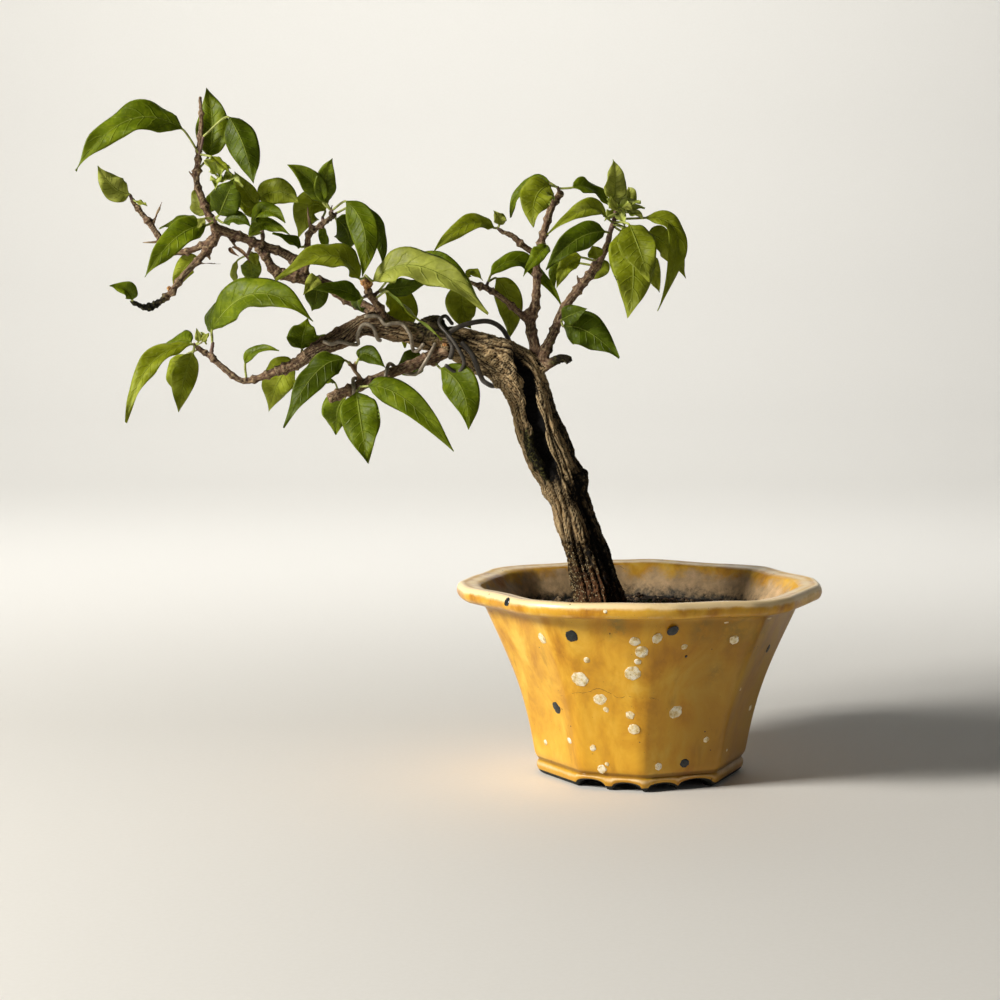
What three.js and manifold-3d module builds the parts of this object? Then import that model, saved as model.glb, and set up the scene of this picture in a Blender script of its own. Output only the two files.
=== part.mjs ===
// Bougainvillea bonsai in a soft-cornered octagonal glazed pot, millimetres, +Z up.
// The front faces -Y. The tree leans left (-X) out of the pot, its thin branches wired.
// X and Y are taken from the pot's axis while the parts are made, and the whole plant is
// then moved so that the middle of its box stands over the origin.
import * as THREE from "three";
import { mergeVertices } from "three/addons/utils/BufferGeometryUtils.js";
import Module from "manifold-3d";

const wasm = await Module();
wasm.setup();

// ---- driving dimensions ----
// corners of the hand-made octagon, in degrees from the front
const CORNERS = [-2.2, 42, 89, 136, 183, 230, 278, 324, 357.8];
const POT_SIDES = 32; // facets round the pot, four to each side of the octagon
const CORNER_CUT = 1.025; // how far the sharp octagon would stand past its rounded corners
const GAP = 0.3; // clear space between touching pieces
const TRIM = 0.05; // how far a surface may move when slivers are trimmed off
const SHORTEST = 0.03; // the shortest edge that a mesh keeps
const BLADE = 0.6; // thickness of a leaf blade
const PETIOLE = 0.55; // radius of a leaf stalk
const HEAVY_WIRE = 1.25; // radius of the wire round the trunk
const FINE_WIRE = 1.0; // radius of the wires round the branches
const FRONT = -Math.PI / 2;

// pot outline, [corner radius, height], from the middle of the underside out and up
const POT_PROFILE = [
  [0, 2.6], [37, 2.6], [38.2, 0], [43.8, 0], [46, 2.2], [46.3, 5.2], [45.2, 6.4], [47, 9],
  [49.5, 22.5], [53.8, 39], [60.2, 55], [68, 72], [78.6, 77.8], [80, 81], [78.6, 85],
  [69.4, 84], [66.6, 80], [60.6, 66], [48, 38], [37, 13], [0, 12],
];
const SOIL_PROFILE = [
  [0, 12.3], [36.6, 13.3], [47.6, 38.1], [60.2, 66.1], [61.8, 69.6], [44, 71], [0, 72.6],
];
// scallops along the front and the back of the foot: [angle from the front, width, height]
const SCALLOPS = [[-32, 14, 3.8], [-10.5, 13, 3.2], [9.6, 13, 2.8], [30.5, 16, 3.8]];

// ---- helpers ----
const v = (p) => new THREE.Vector3(p[0], p[1], p[2]);

// a closed three.js geometry as a manifold solid
function solid(geometry) {
  const g = geometry.clone();
  g.deleteAttribute("normal");
  g.deleteAttribute("uv");
  const merged = mergeVertices(g, 1e-4);
  return new wasm.Manifold(new wasm.Mesh({
    numProp: 3,
    vertProperties: new Float32Array(merged.attributes.position.array),
    triVerts: new Uint32Array(merged.index.array),
  }));
}

// a manifold solid as a three.js geometry
function geometryOf(body) {
  const mesh = body.getMesh();
  const g = new THREE.BufferGeometry();
  const n = mesh.numProp;
  const points = [];
  for (let i = 0; i < mesh.vertProperties.length; i += n) {
    points.push(new THREE.Vector3().fromArray(mesh.vertProperties, i));
  }
  g.setIndex(collapsed(points, Array.from(mesh.triVerts)));
  g.setAttribute("position", new THREE.Float32BufferAttribute(points.flatMap((p) => p.toArray()), 3));
  g.computeVertexNormals();
  return g;
}

// the triangles left once every edge shorter than SHORTEST is drawn together into one point
function collapsed(points, corners) {
  for (let skip = 0; ;) {
    const around = points.map(() => new Set());
    corners.forEach((a, i) => {
      const next = corners[i % 3 === 2 ? i - 2 : i + 1];
      around[a].add(next);
      around[next].add(a);
    });
    const short = [];
    around.forEach((near, a) => near.forEach((b) => {
      if (a < b && points[a].distanceTo(points[b]) < SHORTEST) short.push([a, b]);
    }));
    if (skip >= short.length) return corners;
    const [a, b] = short[skip];
    // the edge may go only where its two ends share no more than its own two triangles
    if ([...around[a]].filter((c) => around[b].has(c)).length > 2) {
      skip++;
      continue;
    }
    const moved = corners.map((c) => (c === b ? a : c));
    corners = moved.filter((_, i) => {
      const [p, q, s] = moved.slice(3 * Math.floor(i / 3), 3 * Math.floor(i / 3) + 3);
      return p !== q && q !== s && s !== p;
    });
  }
}

const union = (bodies) => bodies.reduce((a, b) => a.add(b));
const largest = (body) => body.decompose().sort((a, b) => b.volume() - a.volume())[0];

// angle and radius factor of the soft octagon at a share of the way round; its corners have factor 1
function octagon(share) {
  const side = Math.min(7, Math.floor(share * 8 + 1e-6));
  const [low, high] = [CORNERS[side], CORNERS[side + 1]];
  const turn = THREE.MathUtils.degToRad(low + (high - low) * (share * 8 - side));
  const [half, middle] = [(high - low) / 2, (low + high) / 2].map((a) => THREE.MathUtils.degToRad(a));
  return [FRONT + turn, Math.min(1, (CORNER_CUT * Math.cos(half)) / Math.cos(turn - middle))];
}

// a lathe profile pushed out to the octagon
function octagonal(profile, sides) {
  const g = new THREE.LatheGeometry(profile.map((p) => new THREE.Vector2(p[0], p[1])), sides);
  const p = g.attributes.position;
  for (let i = 0; i < p.count; i++) {
    const [x, z, y] = [p.getX(i), p.getY(i), -p.getZ(i)];
    const r = Math.hypot(x, y);
    const [angle, f] = octagon(r < 1e-6 ? 0 : (Math.atan2(x, -y) / (2 * Math.PI) + 1) % 1);
    p.setXYZ(i, r * f * Math.cos(angle), r * f * Math.sin(angle), z);
  }
  return g;
}

// a limb: a cylinder bent along a smooth line, with a radius at each of its points.
// shape(u, a) may swell or groove it; a is the angle round the limb from +Z towards -Y.
class Limb {
  constructor(points, radii, sides, rings, shape = () => 1) {
    this.curve = new THREE.CatmullRomCurve3(points.map(v), false, "centripetal");
    Object.assign(this, { radii, sides, rings, shape });
  }
  radius(u) {
    const s = u * (this.radii.length - 1);
    const i = Math.min(Math.floor(s), this.radii.length - 2);
    return THREE.MathUtils.lerp(this.radii[i], this.radii[i + 1], s - i);
  }
  // the directions across the limb at u: towards the front, and upward on a limb going left
  frame(u) {
    const t = this.curve.getTangent(u);
    const front = new THREE.Vector3(0, -1, 0);
    front.addScaledVector(t, -front.dot(t)).normalize();
    const up = new THREE.Vector3().crossVectors(t, front).normalize();
    return { t, front, up };
  }
  point(u, a, out) {
    const { front, up } = this.frame(u);
    return this.curve.getPoint(u)
      .addScaledVector(up, Math.cos(a) * out)
      .addScaledVector(front, Math.sin(a) * out);
  }
  at(x) {
    let best = 0;
    for (let i = 0; i <= 400; i++) {
      const near = (u) => Math.abs(this.curve.getPoint(u).x - x);
      if (near(i / 400) < near(best)) best = i / 400;
    }
    return best;
  }
  solid(extra = 0) {
    const g = new THREE.CylinderGeometry(1, 1, 1, this.sides, this.rings);
    const p = g.attributes.position;
    for (let i = 0; i < p.count; i++) {
      const u = THREE.MathUtils.clamp(0.5 - p.getY(i), 0, 1);
      const on = Math.hypot(p.getX(i), p.getZ(i)) > 1e-6;
      const a = Math.atan2(p.getX(i), p.getZ(i));
      const end = u < 1e-6 ? -1 : u > 1 - 1e-6 ? 1 : 0;
      const r = on ? this.radius(u) * this.shape(u, a) + extra : 0;
      const q = this.point(u, a, r).addScaledVector(this.curve.getTangent(u), end * extra);
      p.setXYZ(i, q.x, q.y, q.z);
    }
    const body = solid(g);
    return body.volume() > 0 ? body : solid(flipped(g));
  }
}

function flipped(geometry) {
  const g = geometry.clone();
  const index = g.index.array;
  for (let i = 0; i < index.length; i += 3) {
    [index[i], index[i + 1]] = [index[i + 1], index[i]];
  }
  return g;
}

// a smooth knob, such as a knuckle or a bud
function knob(centre, rx, ry, rz) {
  const g = new THREE.SphereGeometry(1, 6, 4);
  g.rotateX(Math.PI / 2).scale(rx, ry, rz).translate(...centre);
  return solid(g);
}

// a short tapered spike, such as a thorn
function spike(from, to, r0, r1) {
  return new Limb([from, to], [r0, r1], 3, 1).solid();
}

// a round wire along a smooth line through the given points
function wire(points, radius, steps, extra = 0) {
  const r = radius + extra;
  const ring = new THREE.Shape();
  ring.absarc(0, 0, r, 0, 2 * Math.PI);
  const path = new THREE.CatmullRomCurve3(points, false, "centripetal");
  return solid(new THREE.ExtrudeGeometry(ring, {
    steps, bevelEnabled: false, curveSegments: 3, extrudePath: path,
  }));
}

// points of a wire wound on a limb: turns = [x, degrees round from the top to the front]
function wound(limb, turns, clear) {
  return turns.map(([x, degrees]) => {
    const u = limb.at(x);
    const a = THREE.MathUtils.degToRad(degrees);
    return limb.point(u, a, limb.radius(u) * limb.shape(u, a) + clear);
  });
}

// half width of a blade along its midrib, as a share of the full half width
function outline(s) {
  const body = Math.pow(Math.sin(Math.PI * Math.pow(s, 0.72)), 0.85);
  return Math.max(body, 0.035);
}

// a leaf: [root, base, crest, tip, width, facing azimuth, facing elevation, fold].
// The stalk runs from root to base; the blade's midrib passes base, crest and tip; the
// upper face looks towards the azimuth and elevation; fold lifts the margins in degrees.
// Each row across the leaf has three points on the upper face and three on the lower.
function leaf([root, base, crest, tip, width, azimuth, elevation, fold]) {
  const [b, c, t] = [v(base), v(crest), v(tip)];
  const control = c.clone().multiplyScalar(2).addScaledVector(b, -0.5).addScaledVector(t, -0.5);
  const rib = new THREE.QuadraticBezierCurve3(b, control, t);
  const az = THREE.MathUtils.degToRad(azimuth);
  const el = THREE.MathUtils.degToRad(elevation);
  const face = new THREE.Vector3(
    Math.cos(az) * Math.cos(el), Math.sin(az) * Math.cos(el), Math.sin(el));
  const thin = width < 4 ? PETIOLE * 0.8 : PETIOLE;
  const stalk = b.clone().sub(v(root));
  const rows = [[v(root), stalk, thin, thin]];
  if (stalk.length() > 9) {
    rows.push([v(root).lerp(b, 0.5).addScaledVector(face, 0.5), stalk, thin, thin]);
  }
  const along = width > 12 ? 5 : width > 8 ? 4 : 3;
  for (let i = 0; i <= along; i++) {
    const s = i / along;
    const half = Math.max((width / 2) * outline(s), i ? 0.4 : thin);
    rows.push([rib.getPoint(s), rib.getTangent(s), half, i ? BLADE / 2 : thin]);
  }
  const positions = [];
  for (const level of [1, -1]) {
    for (const [at, direction, half, thick] of rows) {
      const tangent = direction.clone().normalize();
      const normal = face.clone().addScaledVector(tangent, -face.dot(tangent)).normalize();
      const side = new THREE.Vector3().crossVectors(tangent, normal);
      const lift = half > 1 ? THREE.MathUtils.degToRad(fold) : 0;
      for (const k of [-1, 0, 1]) {
        const q = at.clone()
          .addScaledVector(side, k * half * Math.cos(lift))
          .addScaledVector(normal, Math.abs(k) * half * Math.sin(lift) + level * thick);
        positions.push(q.x, q.y, q.z);
      }
    }
  }
  const back = 3 * rows.length;
  const index = [];
  const wall = (m, n, turn) => {
    const quad = [m, n, back + n, m, back + n, back + m];
    index.push(...(turn > 0 ? quad : quad.reverse()));
  };
  for (let i = 0; i + 1 < rows.length; i++) {
    for (const j of [0, 1]) {
      const p = 3 * i + j;
      index.push(p, p + 1, p + 4, p, p + 4, p + 3);
      index.push(back + p, back + p + 4, back + p + 1, back + p, back + p + 3, back + p + 4);
    }
    wall(3 * i, 3 * i + 3, 1);
    wall(3 * i + 2, 3 * i + 5, -1);
  }
  for (const j of [0, 1]) {
    wall(j, j + 1, -1);
    wall(back - 3 + j, back - 2 + j, 1);
  }
  const g = new THREE.BufferGeometry();
  g.setAttribute("position", new THREE.Float32BufferAttribute(positions, 3));
  g.setIndex(index);
  const body = solid(g);
  return body.volume() > 0 ? body : solid(flipped(g));
}

// ---- pot and soil ----
let potBody = solid(octagonal(POT_PROFILE, POT_SIDES));
if (potBody.volume() < 0) potBody = solid(flipped(octagonal(POT_PROFILE, POT_SIDES)));
for (const turn of [0, 180]) {
  for (const [angle, width, height] of SCALLOPS) {
    const g = new THREE.CylinderGeometry(1, 1, 14, 8);
    g.scale(width / 2, 1, height).translate(0, -42, 0);
    potBody = potBody.subtract(solid(g.rotateZ(THREE.MathUtils.degToRad(angle + turn))));
  }
}
let soilBody = solid(octagonal(SOIL_PROFILE, POT_SIDES));
if (soilBody.volume() < 0) soilBody = solid(flipped(octagonal(SOIL_PROFILE, POT_SIDES)));

// ---- wood ----
// two fused strands with a deep channel down the front, and flutes all round
function trunkShape(u, a) {
  const middle = 1.8 - 2.6 * (u - 0.285) - 5.4 * Math.max(0, u - 0.39);
  const channel = 0.42 * Math.exp(-(((a - middle) / 0.34) ** 2))
    * THREE.MathUtils.smoothstep(u, 0.25, 0.31) * (1 - THREE.MathUtils.smoothstep(u, 0.44, 0.49));
  return 1 + 0.05 * Math.sin(3 * a + 9 * u) + 0.035 * Math.sin(7 * a - 14 * u) - channel;
}
const trunk = new Limb([
  [-14, 1, 52], [-16, 1, 66], [-18.5, 0, 78], [-24.4, 0, 98], [-30.6, -1, 117], [-36.2, -1, 131],
  [-44, -1, 149], [-49, 0, 166], [-54.5, 0, 177], [-63, 0, 183], [-74.6, -1, 188],
  [-86, -2, 191.5], [-97, -3, 193.4], [-108, -4, 195.2], [-120.5, -5, 197.4], [-131, -6, 190.8],
  [-141.5, -7, 186.6], [-150, -7, 181.3], [-158.6, -7, 178],
], [13, 12.4, 11, 9.6, 9, 10.3, 10.6, 9.6, 10.8, 10, 8.4, 6.6, 5.3, 4.8, 4.4, 3.4, 3, 2.6, 2.1],
12, 28, trunkShape);
const strand = new Limb([[-108, 0, 197], [-116, -1, 201], [-127, -2, 197], [-139, -3, 190.5],
  [-150, -5, 183]], [3.4, 2.9, 2.7, 2.3, 1.8], 6, 6);
const tail = new Limb([[-155, -7, 179], [-158.6, -7, 178], [-167.4, -6, 174.8], [-174.6, -5, 173.6],
  [-184, -4, 180.2], [-189.4, -3, 184.8], [-194.2, -2, 187.6]],
[2, 1.9, 1.6, 1.4, 1.4, 1.3, 1.1], 6, 9);
const lower = new Limb([[-80, -2, 188], [-86.5, -5, 186.6], [-99, -9, 181.1], [-109.3, -12, 177.2],
  [-120, -14, 172.8], [-131, -15, 168.4], [-136.2, -16, 166.3]],
[3.2, 3, 2.5, 2.3, 2.3, 2.4, 2.3], 7, 8);
const spur = new Limb([[-110, -5, 197], [-112.5, -6, 202], [-116, -8, 207.5], [-119, -9, 212],
  [-119.6, -9, 215.6]], [2.3, 1.8, 1.6, 1.7, 1.1], 6, 5);
const limb = new Limb([[-108, 0, 196], [-113, 5, 200.5], [-120, 9, 204.5], [-130, 11, 209.6],
  [-138, 11, 214.8], [-149, 8, 218], [-156.4, 6, 219.6], [-161.3, 5, 221.4], [-164.3, 4, 227],
  [-168.6, 3, 231.4]], [3, 2.8, 2.7, 2.7, 2.7, 2.6, 2.5, 2.1, 1.9, 1.6], 6, 13);
const bough = new Limb([[-147, 9, 217.4], [-151, 8, 224.4], [-157, 7, 229], [-166, 5, 232.2],
  [-175.8, 3, 236.2], [-185.4, 0, 239.4]], [2.4, 2.3, 2.1, 2, 2, 2.3], 6, 9);
const shootTop = new Limb([[-185.4, 0, 239.4], [-189.4, 1, 246.4], [-191.8, 0, 253],
  [-193.8, 0, 259.2], [-193.4, -1, 265.4], [-192.8, -1, 272], [-191.8, -1, 279.6],
  [-191.4, -1, 287.8], [-191.8, -1, 296.4]], [2, 1.7, 1.7, 1.5, 1.4, 1.3, 1.2, 1, 0.8], 5, 8);
const drooping = new Limb([[-185.4, 0, 239.4], [-186, 0, 235], [-189, 0, 231.2], [-192.2, -2, 227.2],
  [-196.6, -4, 222.4], [-201.4, -5, 216.8], [-204.4, -6, 212.6], [-208.3, -6, 208.8],
  [-213.2, -6, 206], [-215, -6, 205.2], [-220.6, -7, 207.3]],
[2, 1.8, 1.7, 1.6, 1.5, 1.6, 1.4, 1.4, 1.3, 1.4, 1], 5, 11);
const farLeft = new Limb([[-187, 0, 236], [-191, 3, 233], [-201.7, 4, 229.4], [-209, 5, 233.4],
  [-214.3, 5, 240.4], [-218.8, 5, 246.4], [-222.4, 5, 251]], [1.6, 1.5, 1.5, 1.5, 1.4, 1.3, 1], 5, 9);
const rearTwig = new Limb([[-148, 8, 219], [-147, 6, 225], [-146.2, 3, 232], [-145.2, 1, 238],
  [-141.4, -1, 240], [-137.2, -2, 243], [-133.4, -3, 245.4]], [1.6, 1.5, 1.5, 1.4, 1.3, 1.2, 0.9], 5, 9);
const right = new Limb([[-46, 1, 178], [-46.4, 2, 186], [-48.6, 3, 198], [-46.6, 3, 206.5],
  [-46, 4, 215], [-46, 4, 225.6], [-44.6, 4, 231.8], [-42, 4, 241], [-38.8, 4, 250.8],
  [-35.8, 4, 254.6]], [3.1, 2.6, 2.3, 2, 1.8, 1.7, 1.7, 1.7, 1.7, 1.3], 6, 10);
const rightLow = new Limb([[-47.6, 3, 198.6], [-51, 3, 200.6], [-57, 2, 206], [-63.6, 0, 211.2],
  [-69.7, -1, 214.4], [-73.7, -2, 215.6]], [1.7, 1.7, 1.4, 1.4, 1.3, 1], 5, 6);
const rightHigh = new Limb([[-45.6, 4, 226.6], [-47, 4, 228.8], [-51.8, 3, 232], [-57, 2, 236.6],
  [-61.4, 1, 238.2]], [1.6, 1.5, 1.4, 1.4, 1], 5, 5);
const front = new Limb([[-44, 0, 178], [-43, -1, 184.6], [-38.9, -3, 194], [-35, -4, 203.6],
  [-29.3, -5, 211.9], [-24, -6, 218.4], [-20.2, -6, 223.6], [-16.2, -6, 231]],
[3, 2.5, 2.1, 2, 2, 1.9, 1.8, 1.6], 6, 8);
const limbs = [trunk, strand, tail, lower, spur, limb, bough, shootTop, drooping, farLeft, rearTwig,
  right, rightLow, rightHigh, front];

// knuckles, stubs, root flare and thorns: [from, to, radius, radius at the tip]
const KNUCKLES = [
  [[-91, -3, 198.4], 6, 4.4, 3.6], [[-185.6, -0.6, 239.2], 2.5, 2.4, 2.6], [[-85.6, -8.2, 187], 2.6, 2.6, 2.8],
  [[-42.4, 1, 134], 5, 6, 8], [[-29, -1, 128], 4.6, 6, 7], [[-60, -4, 187], 7, 6, 5],
  [[-20.5, -6, 223.4], 2.5, 2.5, 2.6], [[-204, -6.4, 212], 1.9, 1.9, 2], [[-35.8, 4, 254.6], 1.9, 1.8, 1.8],
];
const SPIKES = [
  [[-17, 0, 76], [2, -2, 63], 8, 4], [[-20, 4, 74], [-34, 12, 62], 7, 3], [[-14, 4, 74], [-6, 20, 62], 7, 3],
  [[-43.4, -2, 179], [-33.6, -5, 183.8], 2.7, 2.1], [[-48.2, 2.4, 201], [-50.6, 1, 204.4], 1.7, 1.5],
  [[-193.6, 0, 259.6], [-197.2, -1, 264.4], 0.8, 0.45], [[-214.3, 5, 240.6], [-209.6, 4, 251.6], 0.8, 0.5],
  [[-209.6, 5, 233.8], [-218.6, 4, 233.6], 0.8, 0.5], [[-194.6, -3, 224.6], [-182.6, -6, 224.2], 0.7, 0.45],
  [[-144.6, 0, 238.6], [-145.9, -2, 250.6], 0.95, 0.5], [[-136, -2.4, 243.6], [-134.9, -3, 250], 0.8, 0.6],
  [[-27.4, -5, 213.6], [-28.8, -6, 219.6], 0.8, 0.5], [[-140.4, -7, 185], [-141.3, -8, 176.6], 0.9, 0.6],
  [[-121, -14, 173.6], [-124.6, -14.4, 178], 1, 0.9], [[-124.6, -14.4, 178], [-127, -15, 181.4], 0.9, 0.6],
  [[-124.6, -14.4, 178], [-124.2, -14, 181.4], 0.9, 0.6], [[-85, -6, 185], [-90.4, -6.4, 181.2], 1.4, 0.8],
  [[-182, 1.6, 238], [-177, 3, 231], 0.9, 0.6], [[-189, 0, 231.4], [-188.6, -1, 226], 0.9, 0.6],
  [[-148.6, -7, 182.4], [-147.4, -8, 187], 1, 0.6],
];
const woodParts = (extra) => [
  ...limbs.map((l) => l.solid(extra)),
  ...KNUCKLES.map(([c, x, y, z]) => knob(c, x + extra, y + extra, z + extra)),
  ...SPIKES.map(([from, to, r0, r1]) => spike(from, to, r0 + extra, r1 + extra)),
];

// ---- wires ----
const wires = {
  wire_trunk: [HEAVY_WIRE, 24, [
    [-83.6, -9.8, 183.2], [-82.6, -11.6, 188.6], [-84.4, -11, 193.8], [-80, -9.4, 197],
    [-72, -6, 199.2], [-66, 0, 199], [-60.5, 7.4, 195], [-57.4, 13.2, 187], [-59, 13.8, 178],
    [-64, 10, 171], [-68.6, 1.6, 172.6], [-70.6, -8, 176], [-74.4, -12.6, 185.6],
    [-79, -12.2, 190.6]].map(v)],
  wire_loop: [FINE_WIRE, 14, [
    [-83, 6, 198], [-86, -1, 201.6], [-88.4, -9.6, 198.6], [-81.4, -15, 190], [-77.6, -13.8, 181.6],
    [-80.6, -11.6, 177.4], [-85.8, -13.4, 180.8]].map(v)],
  wire_main: [FINE_WIRE, 18, wound(trunk, [
    [-95, 118], [-97.4, 165], [-98.6, 172], [-101.6, 92], [-105.6, 58], [-110, 60], [-112.8, 72],
    [-116, 48], [-120.4, 50]], FINE_WIRE + 1)],
  wire_outer: [FINE_WIRE, 18, wound(trunk, [
    [-112.6, 200], [-114.3, 140], [-117.8, 92], [-121.7, 82], [-125.4, 112], [-127.2, 165],
    [-129, 130], [-132, 88], [-135, 84], [-138.2, 50]], FINE_WIRE + 0.6)],
  wire_lower: [FINE_WIRE, 28, wound(lower, [
    [-88.6, 10], [-94.4, 90], [-100.4, 180], [-105, 270], [-108.4, 350], [-112, 450], [-114, 540],
    [-119, 630], [-123.6, 710], [-125.2, 810], [-126.6, 880]], FINE_WIRE + 0.8)],
};

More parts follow.
